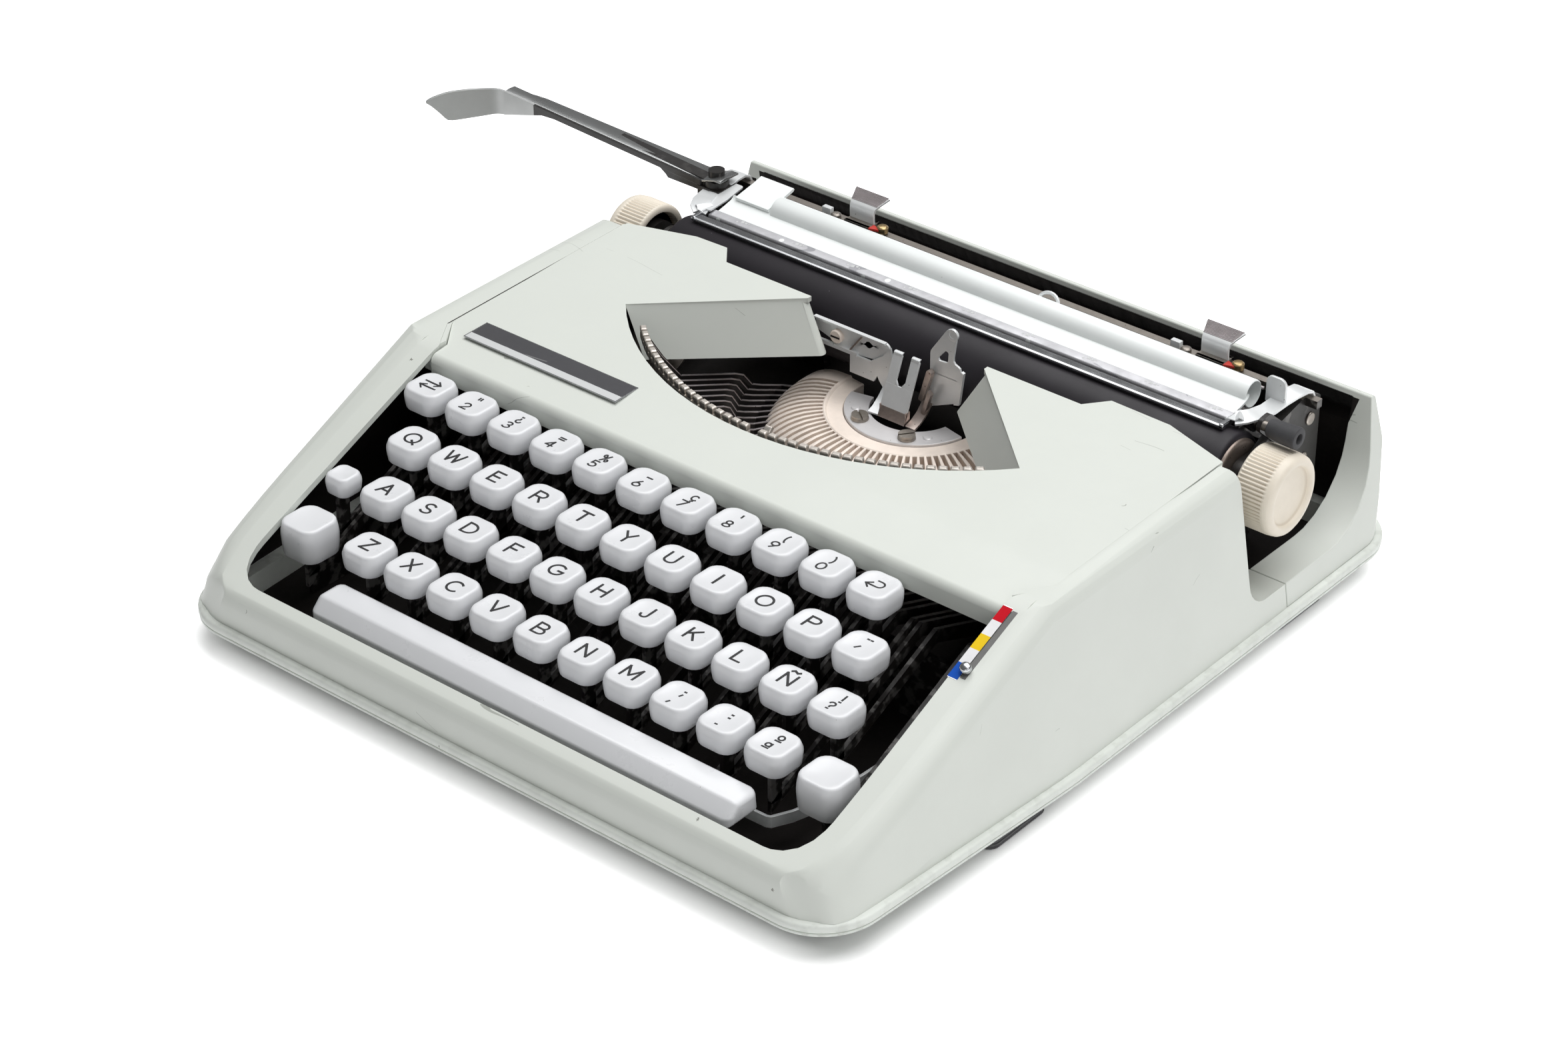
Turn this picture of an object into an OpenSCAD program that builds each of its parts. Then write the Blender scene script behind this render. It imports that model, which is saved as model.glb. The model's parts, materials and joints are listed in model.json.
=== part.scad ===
// Portable manual typewriter.
// Every module is drawn from the front wall's foot: x from the middle plane,
// y back from the wall, z up from the top of the lip. in_frame() then moves
// the piece so that the origin is the middle of the whole box on the table.

/* [Body] */
// Width over the lip
body_w = 292.6; // [284:0.2:310]
// Width over the lip at the front, where the sides draw in
front_w = 279.4; // [270:0.2:290]
// Depth over the lip
body_d = 303.6; // [300:0.2:320]
// How far the lip stands out from the walls
lip_out = 2.5; // [1.5:0.1:4]
// Thickness of the lip
lip_h = 4.3; // [3:0.1:6]
// Corner radius of the lip in plan
corner_r = 22; // [14:0.5:28]
// Wall thickness of the shells
wall = 2; // [1.4:0.1:2.6]
// Height of the front wall before the slope starts
front_h = 8.5; // [7:0.1:11]
// Height of the deck at the knee, behind the keyboard
knee_h = 57.3; // [55:0.1:62]
// Distance of the knee from the front wall
knee_y = 107.5; // [106:0.1:112]
// Distance of the notch for the carriage from the front wall
notch_y = 210; // [206:0.1:213]
// Half width between the ridges of the deck
ridge_x = 134.5; // [131:0.1:138]
// Radius along the ridges
ridge_r = 8; // [3:0.5:10]
// Height of the low ledge beside the carriage
ledge_h = 8.8; // [6:0.1:11]
// Height of the rear wall
rear_h = 51.5; // [46:0.1:56]
// Depth of the tray under the lip
tray_h = 10; // [8:0.1:12]
// Thickness of the tray's sheet
tray_t = 1.2; // [0.8:0.1:1.6]
// Height of the rubber feet under the tray
foot_h = 4; // [3:0.1:8]
// Length of a rubber foot
foot_len = 30; // [20:0.5:36]

/* [Cover] */
// Half width of the ribbon cover
cover_x = 127.6; // [126:0.1:129]
// Sheet thickness of the ribbon cover
cover_t = 1.8; // [1.2:0.1:2]
// Front face of the ribbon cover, from the front wall
cover_y = 102.6; // [102.2:0.1:103.2]
// Rear edge of the ribbon cover's middle
cover_rear_y = 211; // [207:0.1:212]
// Radius of the opening over the type basket
basket_r = 113.6; // [108:0.1:118]
// Depth of the two sloping walls beside the opening
wing_h = 17; // [8:0.5:18]
// Gap between the cover and the body
seam = 0.6; // [0.5:0.1:1]
// Diameter of the cover's hinge pins
hinge_d = 2; // [1.6:0.1:2.4]

/* [Keys] */
// Distance between keys along a row
key_pitch = 19.05; // [18.6:0.05:19.3]
// Distance between rows, front to back
row_pitch = 18.73; // [18:0.01:19]
// Rise from one row to the next
row_step = 8.55; // [8:0.05:9]
// Distance of the number row from the front wall
first_row_y = 93.4; // [92.6:0.1:93.6]
// Height of the number row's tops
first_row_z = 51.35; // [50.8:0.05:53]
// Width of a key cap at its foot
cap_w = 15.6; // [14:0.1:16]
// Width of a key cap at its top
cap_top_w = 12.8; // [11:0.1:14]
// Height of a key cap
cap_h = 8; // [6.5:0.1:8.5]
// Width of a shift key's cap at its foot
shift_w = 16.6; // [14:0.1:16.8]
// Height of a shift key's cap
shift_h = 12.5; // [10:0.1:13]
// How far a key goes down
key_travel = 8; // [6:0.1:8.4]
// Length of the space bar
space_len = 181; // [150:0.5:184]
// Thickness of the key levers
lever_t = 1.5; // [1:0.1:1.7]
// Height of the key levers
lever_h = 4; // [3:0.1:4.4]
// Diameter of the rod that the key levers turn on
rod_d = 4; // [3:0.1:5]

/* [Type basket] */
// Offset of the printing point from the middle plane
print_x = -1.2; // [-4:0.1:0]
// Offset of the cover's opening from the middle plane
mouth_mid_x = -5; // [-6:0.1:-3]
// Number of typebars
bar_count = 41; // [31:2:43]
// Thickness of a typebar
bar_t = 1; // [0.7:0.05:1.1]
// Radius of the arc of typebar pivots about the printing point
pivot_r = 43.2; // [42.5:0.1:44]
// Depth of the segment's top below the printing point
segment_drop = 19; // [18:0.1:20]
// Radius of a ribbon spool
spool_r = 19; // [15:0.1:20]

/* [Carriage] */
// Diameter of the platen
platen_d = 29; // [27:0.1:29.4]
// Length of the platen's rubber
platen_len = 239; // [225:0.5:240]
// Height of the platen's axis
platen_z = 42; // [41.5:0.1:43]
// Distance of the platen's axis from the front wall
platen_y = 231; // [230.6:0.1:232]
// Diameter of the platen's shaft
shaft_d = 8; // [6:0.1:9]
// Diameter of the platen knobs
knob_d = 28.8; // [24:0.1:29]
// Width of a platen knob
knob_w = 15; // [10:0.1:16]
// Half distance between the inner faces of the end plates
end_x = 121; // [120.5:0.1:123]
// Thickness of the end plates
end_t = 3; // [2:0.1:4]
// Length of the return lever's arm
arm_len = 100; // [80:0.5:115]
// Length of the return lever's paddle
paddle_len = 34; // [20:0.5:40]

/* [Fits] */
// Radial clearance of a pin in its hole
run_fit = 0.05; // [0.02:0.01:0.1]
// Gap between pieces that slide past each other
slide_gap = 0.3; // [0.2:0.05:0.5]

/* [Hidden] */
$fn = 64;

eps = 0.01;
big = 400;

// Colours
paint = "#cfd5cd";
key_white = "#f4f5f7";
black_steel = "#24221f";
bright_steel = "#b9bec4";
bronze = "#a88d78";
rubber_black = "#2b2830";
cream = "#efe3cb";

// Body
wall_x = body_w / 2 - lip_out;
front_x = front_w / 2 - lip_out;
back_y = body_d - 2 * lip_out;
taper_y = 110;
seam_y = notch_y + 20.5;
slope = (knee_h - front_h) / knee_y;
slope_deg = atan(slope);
deck_rise = 0.02;
deck_end_h = knee_h + deck_rise * (notch_y - knee_y);
lean = (wall_x - ridge_x) / knee_h;
slope_lean = 0.23;
opening_x = cover_x - 7;
opening_front_y = 9.4;
opening_corner_r = 14;
well_x = cover_x + seam;
sweep_r = 28;
rear_lean = 0.165;
rear_top_y = back_y - rear_lean * rear_h;
rear_rim = 4;
sweep_y = rear_top_y - 8.5;
tray_in = 7.5;
floor_z = -tray_h + tray_t;
foot_w = 18;
foot_x = body_w / 2 - tray_in - foot_w / 2;
foot_y = [92, 248];

// Keys
row_x = [-111.2, -101.6, -95.8, -85.8];
lever_gap = 1;
row_slope = row_step / row_pitch;
fulcrum_y = 185;
fulcrum_z = 4;
rod_r = rod_d / 2;
hub_r = rod_r + 2.5;
lever_knee_y = first_row_y + 11;
letter_rows = ["qwertyuiop", "asdfghjkl", "zxcvbnm"];
shift_x = [-112.3, 108.1];
shift_lever_x = [-113.3, 108.1];
shift_y = first_row_y - 3 * row_pitch - 1.5;
shift_z = first_row_z - 3 * row_step;
lock_x = -114.2;
lock_lever_x = -116;
lock_y = first_row_y - 2 * row_pitch - 2;
lock_z = first_row_z - 2 * row_step;
lock_w = 10.5;
lock_top_w = 8.6;
lock_h = 7;
space_mid_x = -2.5;
space_arm_x = [-69.9, 63.4];
space_back_y = 27;
space_front_y = 11.8;
space_top_z = 16;
space_h = 8;
space_arm_y = 17;
frame_x = 118.2;
frame_t = 1.6;

// Type basket
platen_r = platen_d / 2;
print_y = platen_y - platen_r;
print_z = platen_z + 5;
segment_z = print_z - segment_drop;
basket_y = 243.1;
tip_r = basket_r - 5.6;
tip_deg = 38.9;
tip_z = 54.5;
ring_deg = 96;
slot_deg = 84;
slot_gap = 0.15;
wing_lean = 8;
wing_slant = 6;
wing_fold = 3.4;
wing_out = [84, 38];
wing_y = [167, cover_rear_y - cover_t];
spool_x = 104;
spool_y = 185;
spool_z = 30;
spool_post_r = 2;
shelf_z = 22;
shelf_t = 2;

// Cover hinge
ear_r = hinge_d / 2 + 0.7;
hinge_y = cover_y + cover_t + ear_r + slide_gap;
deck_front_z = deck_z(cover_y) - 2.2;
hinge_z = deck_front_z - cover_t - ear_r - slide_gap;

// Carriage
shaft_r = shaft_d / 2;
knob_r = knob_d / 2;
beam_y = 258;
beam_w = 16;
beam_z = 24;
beam_h = 16;
rail_h = 6;
tube_y = 252.2;
tube_z = platen_z + 17.6;
tube_r = 5;
bail_y = 252;
bail_z = 50;
stop_bar_y = 264.5;
stop_bar_z = 54.5;
stop_x = [-65, 86.6];
arm_y = 253;
arm_z = 60;
arm_x = -(end_x + 1);
arm_rise = 6;
post_x = [-90, 30, 95];
drum_y = beam_y + beam_w - 2;
drum_z = 8;
drum_r = 14;

// Where the machine's middle plane sits in the box, and its depth and height
lever_reach = -arm_x + arm_len - 0.5 + paddle_len * sin(30);
origin = [(lever_reach - body_w / 2) / 2, lip_out - body_d / 2, tray_h + foot_h];

// Heights of the deck and of the key levers' upper edge at a distance y
function deck_z(y) = knee_h + deck_rise * (y - knee_y);
function lever_top(y) = first_row_z - cap_h - key_travel - lever_gap
  + row_slope * (y - first_row_y - cap_w / 2);

// A polygon whose corners are arcs: radii has one radius for each point
function unit(v) = v / norm(v);
function arc_corner(a, b, c, r, n) =
  let (u = unit(a - b), v = unit(c - b), half = acos(u * v) / 2)
  let (mid = b + unit(u + v) * r / sin(half), t = r / tan(half))
  let (p = b + u * t - mid, q = b + v * t - mid)
  r == 0 ? [b] : [for (i = [0:n]) mid + r * unit(p * (n - i) + q * i)];
function rounded(pts, radii, n = 6) = [for (i = [0:len(pts) - 1])
  each arc_corner(pts[(i + len(pts) - 1) % len(pts)], pts[i], pts[(i + 1) % len(pts)], radii[i], n)];

// Profiles drawn in y and z, or in x and z, and carried along the third axis
module along_x(x, len) {
  translate([x, 0, 0]) rotate([90, 0, 90]) linear_extrude(len) children();
}
module along_y(y, len) {
  translate([0, y + len, 0]) rotate([90, 0, 0]) linear_extrude(len) children();
}
module rod_x(x, len, y, z, r) {
  translate([x, y, z]) rotate([0, 90, 0]) cylinder(h = len, r = r);
}
// A straight bar from p to q, w wide and h high
module bar(p, q, w, h) {
  d = q - p;
  translate(p) rotate([0, -asin(d.z / norm(d)), atan2(d.y, d.x)])
    translate([0, -w / 2, -h / 2]) cube([norm(d), w, h]);
}
module in_frame() {
  translate(origin) children();
}

// Plan of the body, drawn in by inset from the lip's edge
module plan(inset) {
  side = body_w / 2 - inset;
  front = front_w / 2 - inset;
  y0 = inset - lip_out;
  y1 = back_y + lip_out - inset;
  r = corner_r - inset;
  polygon(rounded([[-front, y0], [front, y0], [side, taper_y], [side, y1], [-side, y1], [-side, taper_y]],
    [r, r, 150, r, r, 150], 8));
}

module base_pan() {
  color(paint) difference() {
    union() {
      translate([0, 0, -lip_h]) linear_extrude(lip_h) plan(0);
      translate([0, 0, -tray_h]) linear_extrude(tray_h) plan(tray_in);
    }
    translate([0, 0, floor_z]) linear_extrude(tray_h + 1) plan(tray_in + tray_t);
  }
}

module rubber_feet() {
  color("#4a4a4c") for (x = [-foot_x, foot_x]) for (y = foot_y)
    translate([x, y, -tray_h - foot_h]) linear_extrude(foot_h)
      polygon(rounded([[-foot_w, -foot_len], [foot_w, -foot_len], [foot_w, foot_len], [-foot_w, foot_len]] / 2,
        [4, 4, 4, 4]));
}

// Front part of the body, t inside its outer skin
module front_form(t) {
  top_x = ridge_x - t;
  intersection() {
    translate([0, 0, -1]) linear_extrude(big) plan(lip_out + t);
    along_y(-1, big) polygon(rounded([[-wall_x + t - lean, -1], [wall_x - t + lean, -1],
      [top_x, deck_end_h - t], [-top_x, deck_end_h - t]], [0, 0, ridge_r - t, ridge_r - t]));
    translate([0, 0, front_h]) rotate([slope_deg, 0, 0]) along_y(-50, big)
      polygon(rounded([[-top_x - slope_lean * 120, -120], [top_x + slope_lean * 120, -120], [top_x, -t], [-top_x, -t]],
        [0, 0, ridge_r - t, ridge_r - t]));
    along_x(-big / 2, big) polygon(rounded([[t, -1], [t, front_h - 0.8 * t], [knee_y + 0.2 * t, knee_h - t],
      [notch_y - t, deck_end_h - t], [notch_y + 1 - t, ledge_h - t], [seam_y + t, ledge_h - t], [seam_y + t, -1]],
      [0, 6, 20, 3, 8, 0, 0]));
  }
}
// Opening for the keys and, behind it, for the ribbon cover
module body_opening() {
  polygon(concat(
    rounded([[-opening_x, cover_y], [-opening_x, opening_front_y], [opening_x, opening_front_y],
      [opening_x, cover_y]], [0, opening_corner_r, opening_corner_r, 0]),
    [[opening_x, cover_y + 5], [well_x, cover_y + 16.8], [well_x, big], [-well_x, big],
      [-well_x, cover_y + 16.8], [-opening_x, cover_y + 5]]));
}
colour_slot_x = opening_x + 3.2;
colour_slot_y = [78, 103];
colour_slot_w = 2.2;
module body_shell() {
  color(paint) difference() {
    union() {
      difference() {
        front_form(0);
        front_form(wall);
        translate([0, 0, front_h / 2]) linear_extrude(big) body_opening();
      }
      // Bosses under the frame for the cover's hinge pins
      intersection() {
        front_form(wall / 2);
        for (s = [0, 1]) mirror([s, 0, 0])
          translate([opening_x + slide_gap, hinge_y - 2.8, hinge_z - 2.8]) cube([3, 5.6, 20]);
      }
    }
    translate([0, 0, -2]) linear_extrude(2) plan(lip_out - 1);
    translate([-big / 2, seam_y, -2]) cube(big);
    rod_x(-opening_x - 2.8, 2 * opening_x + 5.6, hinge_y, hinge_z, hinge_d / 2 + run_fit);
    translate([colour_slot_x, colour_slot_y[0], 0])
      cube([colour_slot_w, colour_slot_y[1] - colour_slot_y[0], big]);
  }
}

// Rear part of the body, t inside its outer skin
module rear_form(t) {
  top_x = ridge_x - t;
  intersection() {
    translate([0, 0, -1]) linear_extrude(big) plan(lip_out + t);
    along_y(-1, big) polygon(rounded([[-wall_x + t - lean, -1], [wall_x - t + lean, -1],
      [top_x, knee_h - t], [-top_x, knee_h - t]], [0, 0, ridge_r - t, ridge_r - t]));
    along_x(-big / 2, big) polygon(t == 0
      ? rounded([[seam_y + seam, -1], [seam_y + seam, ledge_h], [sweep_y, ledge_h], [rear_top_y - 2.4, rear_h],
          [rear_top_y, rear_h], [back_y + rear_lean, -1]], [0, 0, sweep_r, 0.8, 1.5, 0])
      : rounded([[seam_y - 1, -1], [seam_y - 1, ledge_h - t], [sweep_y + t, ledge_h - t], [rear_top_y - t, rear_h - 9],
          [back_y - t + rear_lean, -1]], [0, 0, sweep_r - 4, 0, 0]));
  }
}
module rear_shell() {
  color(paint) difference() {
    rear_form(0);
    rear_form(wall);
    translate([0, 0, -2]) linear_extrude(2) plan(lip_out - 1);
    along_x(-well_x, 2 * well_x) polygon([[200, -2], [back_y - wall - 0.8, -2],
      [rear_top_y - wall, rear_h - 2.4], [rear_top_y - rear_rim, rear_h - 2.4], [rear_top_y - rear_rim, rear_h + 10],
      [200, rear_h + 10]]);
  }
}

module main_frame() {
  side = [[40, floor_z], [198, floor_z], [198, 16], [150, 24], [113, 24 + 12], [98, 20], [40, 4]];
  comb_y = 112;
  shelf = [[165, shelf_z], [198, shelf_z], [198, shelf_z + shelf_t], [165, shelf_z + shelf_t]];
  color(black_steel) {
    for (s = [-1, 1]) {
      along_x(s > 0 ? frame_x : -frame_x - frame_t, frame_t) polygon(side);
      // Shelf and post of the ribbon spool
      translate([s > 0 ? spool_x - 14 : -frame_x - frame_t, 0, 0])
        along_x(0, frame_x + frame_t - spool_x + 14) polygon(shelf);
      translate([s > 0 ? frame_x : -frame_x - frame_t, 165, 10]) cube([frame_t, 33, shelf_z - 10 + shelf_t]);
      translate([s * spool_x, spool_y, shelf_z]) cylinder(h = 24, r = spool_post_r);
    }
    // Rod of the key levers, the bar they rest against and the plate under the segment
    rod_x(-frame_x - eps, 2 * frame_x + 2 * eps, fulcrum_y, fulcrum_z, rod_r);
    translate([-frame_x - eps, comb_y, floor_z]) cube([2 * frame_x + 2 * eps, 2, 18 - floor_z]);
    translate([-frame_x - eps, 178, 10]) cube([2 * frame_x + 2 * eps, 12, segment_z - 15.5 - 10]);
    translate([-frame_x - eps, 195, floor_z]) cube([2 * frame_x + 2 * eps, 2, 11 - floor_z]);
  }
}

// Frame of the segment: origin under the printing point, on the segment's top
module at_segment() {
  translate([print_x, print_y, segment_z]) children();
}
module sector(deg) {
  rotate([0, 0, 270 - deg]) rotate_extrude(angle = 2 * deg) children();
}
ring_in = pivot_r - 18.4;
land_r = pivot_r - 12.2;
ring_out = pivot_r + 10.8;
slot_step = 2 * slot_deg / (bar_count - 1);
bar_mid = (bar_count - 1) / 2;
module type_segment() {
  color(bronze) difference() {
    at_segment() sector(ring_deg) polygon([[ring_in, -15.5], [ring_in, -0.8], [land_r - 0.2, -0.8], [land_r, 0],
      [land_r + 7.4, -0.9], [land_r + 13, -2.8], [land_r + 18.4, -6.2], [ring_out - 2, -9.4], [ring_out, -12.8],
      [ring_out - 8, -15.5]]);
    at_segment() for (k = [0:bar_count - 1]) rotate([0, 0, (k - bar_mid) * slot_step])
      translate([-bar_t / 2 - slot_gap, -ring_out - 1, -13]) cube([bar_t + 2 * slot_gap, ring_out - land_r + 1, 30]);
  }
  color(bright_steel) at_segment() {
    sector(ring_deg - 18) translate([ring_in - 9, -1.6]) square([9.5, 1.6]);
    for (a = [-30, 30]) rotate([0, 0, a]) translate([0, -ring_in + 4.4, -0.2]) cylinder(h = 1.9, r = 3);
    for (a = [-50, 50]) rotate([0, 0, a]) translate([0, -ring_in + 4.4, -0.2]) cylinder(h = 0.9, r = 1.6);
  }
}

// Places where a typebar leaves its slot, of its crank and of its type at rest
heel_r = ring_out + 1.4;
heel_drop = 10;
function heel(k) = let (a = (k - bar_mid) * slot_step)
  [print_x + heel_r * sin(a), print_y - heel_r * cos(a), segment_z - heel_drop];
function tip(k) = let (g = (k - bar_mid) * tip_deg / bar_mid)
  [print_x + tip_r * sin(g), basket_y - tip_r * cos(g), tip_z];
function crank(k) = let (h = heel(k), t = tip(k)) [h.x * 0.28 + t.x * 0.72, h.y * 0.28 + t.y * 0.72, h.z + 14];
module typebar(k) {
  h = heel(k);
  c = crank(k);
  t = tip(k);
  at_segment() rotate([0, 0, (k - bar_mid) * slot_step])
    translate([-bar_t / 2, -heel_r - 0.3, -heel_drop - 1.2]) cube([bar_t, heel_r - pivot_r + 2, 2.4]);
  bar(h, c, bar_t - 0.16, 2.1);
  bar(c, t, bar_t - 0.3, 1.8);
  translate(t) rotate([0, 0, (k - bar_mid) * tip_deg / bar_mid]) translate([-1.3, -1.1, -3.4])
    cube([2.6, 2.2, 5]);
}
module typebars() {
  color("#8f8479") for (k = [0:bar_count - 1]) if (k != bar_mid) typebar(k);
}

// The middle typebar, which the Y key throws at the platen
bar_pin_z = print_z - 25;
module typebar_y() {
  reach = 47.8;
  lift = atan2(tip_z - bar_pin_z, print_y - pivot_r - basket_y + tip_r);
  color("#8f8479") translate([print_x, print_y - pivot_r, bar_pin_z]) rotate([-lift, 0, 0]) {
    translate([-bar_t / 2, -reach, -1.2]) cube([bar_t, reach + 2, 2.4]);
    translate([-1.3, -reach - 1.4, -2.6]) cube([2.6, 1.6, 4.4]);
  }
}

module type_guide() {
  sheet = 1;
  y = print_y - 3;
  // The legs stand just behind the screws of the crescent plate
  leg_y = print_y - (ring_in - 4.4) * cos(30) + 3.475;
  color(bright_steel) {
    // Line gauge on the left and its leg down to the crescent plate
    along_y(y, sheet) difference() {
      polygon([[print_x - 40, print_z - 1], [print_x - 40, print_z + 3.5], [print_x - 9, print_z + 3.5],
        [print_x - 6, print_z + 1], [print_x - 6, print_z - 14], [print_x - 10, print_z - 14], [print_x - 12, print_z - 7],
        [print_x - 26, print_z - 7]]);
      translate([print_x - 18, print_z + 0.6]) circle(r = 1.4);
    }
    translate([print_x - 30, y, print_z - 1]) rotate([90, 0, 0]) cylinder(h = 1.2, r = 2.4);
    bar([print_x - 8, y + 0.5, print_z - 12], [print_x - 8, leg_y + 2.2, print_z - 18], 3.4, sheet);
    translate([print_x - 10, leg_y, print_z - 18.8]) cube([4, 3, sheet]);
    // Card pointer on the right and its leg
    along_y(y, sheet) difference() {
      polygon(rounded([[print_x + 6, print_z - 14], [print_x + 21, print_z - 9], [print_x + 23.6, print_z + 4],
        [print_x + 19.6, print_z + 6.5], [print_x + 20.4, print_z + 20], [print_x + 15.6, print_z + 20],
        [print_x + 9.6, print_z + 10], [print_x + 9.6, print_z - 2]], [0.5, 0.5, 1, 2, 2, 2, 2, 1]));
      translate([print_x + 18, print_z + 17.6]) circle(r = 1.3);
      polygon(rounded([[print_x + 11.6, print_z + 5], [print_x + 17, print_z + 5], [print_x + 17, print_z + 11.5]],
        [0.8, 0.8, 0.8]));
    }
    bar([print_x + 8, y + 0.5, print_z - 12], [print_x + 8, leg_y + 2.2, print_z - 18], 3.4, sheet);
    translate([print_x + 6, leg_y, print_z - 18.8]) cube([4, 3, sheet]);
  }
}

module ribbon_vibrator() {
  foot_y = print_y - 13.5;
  sheet = 0.9;
  side = [[foot_y, segment_z + 0.6], [foot_y + sheet, segment_z + 0.6], [foot_y + 1.4 + sheet, segment_z + 4.6],
    [foot_y + 8.3 + sheet, segment_z + 22], [foot_y + 8.3, segment_z + 22.3], [foot_y + 1.4, segment_z + 4.9]];
  color(bright_steel) {
    for (x = [print_x - 5.4, print_x + 1.9]) along_x(x, 3.5) polygon(side);
    translate([print_x - 5.4, foot_y, segment_z + 0.6]) cube([10.8, sheet, 1.4]);
  }
}

module spool(x) {
  color("#8d8f92") translate([x, spool_y, shelf_z + shelf_t + slide_gap]) difference() {
    union() {
      cylinder(h = 1, r = spool_r);
      cylinder(h = 13, r = spool_r - 4);
      translate([0, 0, 12]) cylinder(h = 1, r = spool_r);
    }
    translate([0, 0, -1]) cylinder(h = big, r = spool_post_r + run_fit);
  }
}
module spool_left() {
  spool(-spool_x);
}
module spool_right() {
  spool(spool_x);
}

module ribbon_cover() {
  right_half = [[opening_x - seam, cover_y], [opening_x - seam, cover_y + 8.2], [cover_x, cover_y + 18.6], [cover_x, cover_rear_y - 0.5],
    [cover_x - 26, cover_rear_y + 7.5]];
  step = [[83, cover_rear_y + 8], [76.5, cover_rear_y]];
  mouth_x = sqrt(basket_r * basket_r - pow(basket_y - wing_y[0], 2));
  steps = 24;
  mouth = [for (i = [0:steps]) let (g = asin(mouth_x / basket_r) * (2 * i / steps - 1))
    [mouth_mid_x + basket_r * sin(g), basket_y - basket_r * cos(g)]];
  color(paint) {
    difference() {
      intersection() {
        along_x(-big / 2, big) difference() {
          polygon(rounded([[cover_y, deck_front_z - 8], [cover_y, deck_front_z], [cover_y + 24, deck_z(cover_y + 24)],
            [big, deck_z(big)], [big, 0], [cover_y + cover_t, 0], [cover_y + cover_t, deck_front_z - 8]],
            [0, 3, 30, 0, 0, 0, 0]));
          polygon(rounded([[cover_y + cover_t, -1], [cover_y + cover_t, deck_front_z - cover_t],
            [cover_y + 24, deck_z(cover_y + 24) - cover_t], [big, deck_z(big) - cover_t], [big, -1]],
            [0, 1.2, 28, 0, 0]));
        }
        linear_extrude(big) polygon(concat(
          right_half,
          [for (p = step) [mouth_mid_x + p.x, p.y]], [for (i = [1:-1:0]) [mouth_mid_x - step[i].x, step[i].y]],
          [for (i = [4:-1:0]) [-right_half[i].x, right_half[i].y]]));
      }
      linear_extrude(big) polygon(concat(mouth,
        [[mouth_mid_x + wing_out[1], wing_y[1]], [mouth_mid_x + wing_out[1], big], [mouth_mid_x - wing_out[1], big],
          [mouth_mid_x - wing_out[1], wing_y[1]]]));
    }
    for (s = [0, 1]) translate([mouth_mid_x, 0, 0]) mirror([s, 0, 0]) wing(mouth_x);
    // Hinge lugs and pins
    for (s = [0, 1]) mirror([s, 0, 0]) {
      rod_x(opening_x - seam - 2, 2, hinge_y, hinge_z, ear_r);
      translate([opening_x - seam - 2, hinge_y - ear_r, hinge_z]) cube([2, 2 * ear_r, ear_r + slide_gap + 0.6]);
      rod_x(opening_x - seam - 1, 3.4 + seam, hinge_y, hinge_z, hinge_d / 2);
    }
  }
}
// Sloping wall on the right of the basket opening, with its end folded back
module wing(mouth_x) {
  a = [wing_out[1], wing_y[1]];
  b = [mouth_x, wing_y[0]];
  len = norm(b - a);
  turn = atan2(b.y - a.y, b.x - a.x);
  top = deck_z(wing_y[0]) - 0.6;
  section = rounded([[len, 0], [len, cover_t], [cover_t, cover_t], [cover_t, wing_fold], [0, wing_fold], [0, 0]],
    [0, 0, 0.8, 0, 0, 2.4]);
  intersection() {
    translate([a.x, a.y, top]) rotate([0, 0, turn])
      multmatrix([[1, 0, wing_slant / wing_h, 0], [0, 1, wing_lean / wing_h, 0], [0, 0, 1, 0]])
        translate([0, 0, -wing_h]) linear_extrude(wing_h) polygon(section);
    translate([-big / 2, 0, top - wing_h]) cube([big, cover_rear_y + 1.5, wing_h]);
  }
}

module colour_lever() {
  mid_y = colour_slot_y[0] + 2.4;
  surface = front_h + slope * mid_y;
  color(bright_steel) translate([colour_slot_x + colour_slot_w / 2, mid_y, surface]) rotate([slope_deg, 0, 0]) {
    translate([0, 0, -wall - slide_gap - 1.2]) cylinder(h = wall + slide_gap + 2.2, r = 0.75);
    translate([0, 0, 0.5]) cylinder(h = 2.4, r = 1.9);
    translate([-2.2, -2.2, -wall - 2 * slide_gap - 2]) cube([4.4, 4.4, 1.2 + slide_gap]);
  }
}

// Key cap standing on its foot at the origin
module cap(foot, top, h) {
  side = [[-foot / 2, 0], [foot / 2, 0], [top / 2, h], [-top / 2, h]];
  r = foot * 0.3;
  intersection() {
    linear_extrude(h) polygon(rounded([[-1, -1], [1, -1], [1, 1], [-1, 1]] * foot / 2, [r, r, r, r]));
    along_x(-foot, 2 * foot) polygon(side);
    along_y(-foot, 2 * foot) polygon(side);
  }
}
// Lever from its end at y back to the rod, with the hub's bore
module key_lever(x, y, tail = 2) {
  y0 = y - tail;
  top = lever_top(lever_knee_y);
  along_x(x - lever_t / 2, lever_t) difference() {
    union() {
      polygon([[y0, lever_top(y0)], [lever_knee_y, top], [fulcrum_y, fulcrum_z + lever_h / 2],
        [fulcrum_y, fulcrum_z - lever_h / 2], [lever_knee_y, top - lever_h - 1], [y0, lever_top(y0) - lever_h]]);
      translate([fulcrum_y, fulcrum_z]) circle(r = hub_r);
    }
    translate([fulcrum_y, fulcrum_z]) circle(r = rod_r + run_fit);
  }
}
function row_y(row) = first_row_y - row * row_pitch;
function row_z(row) = first_row_z - row * row_step;
module typing_key(row, col) {
  x = row_x[row] + col * key_pitch;
  y = row_y(row);
  foot = row_z(row) - cap_h;
  color(key_white) translate([x, y, foot]) cap(cap_w, cap_top_w, cap_h);
  color(black_steel) {
    translate([x - lever_t / 2, y - 2, lever_top(y) - 1.5]) cube([lever_t, 5, foot - lever_top(y) + 1.5]);
    key_lever(x, y);
  }
}
module number_keys() {
  for (c = [1:9]) typing_key(0, c);
}
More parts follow.
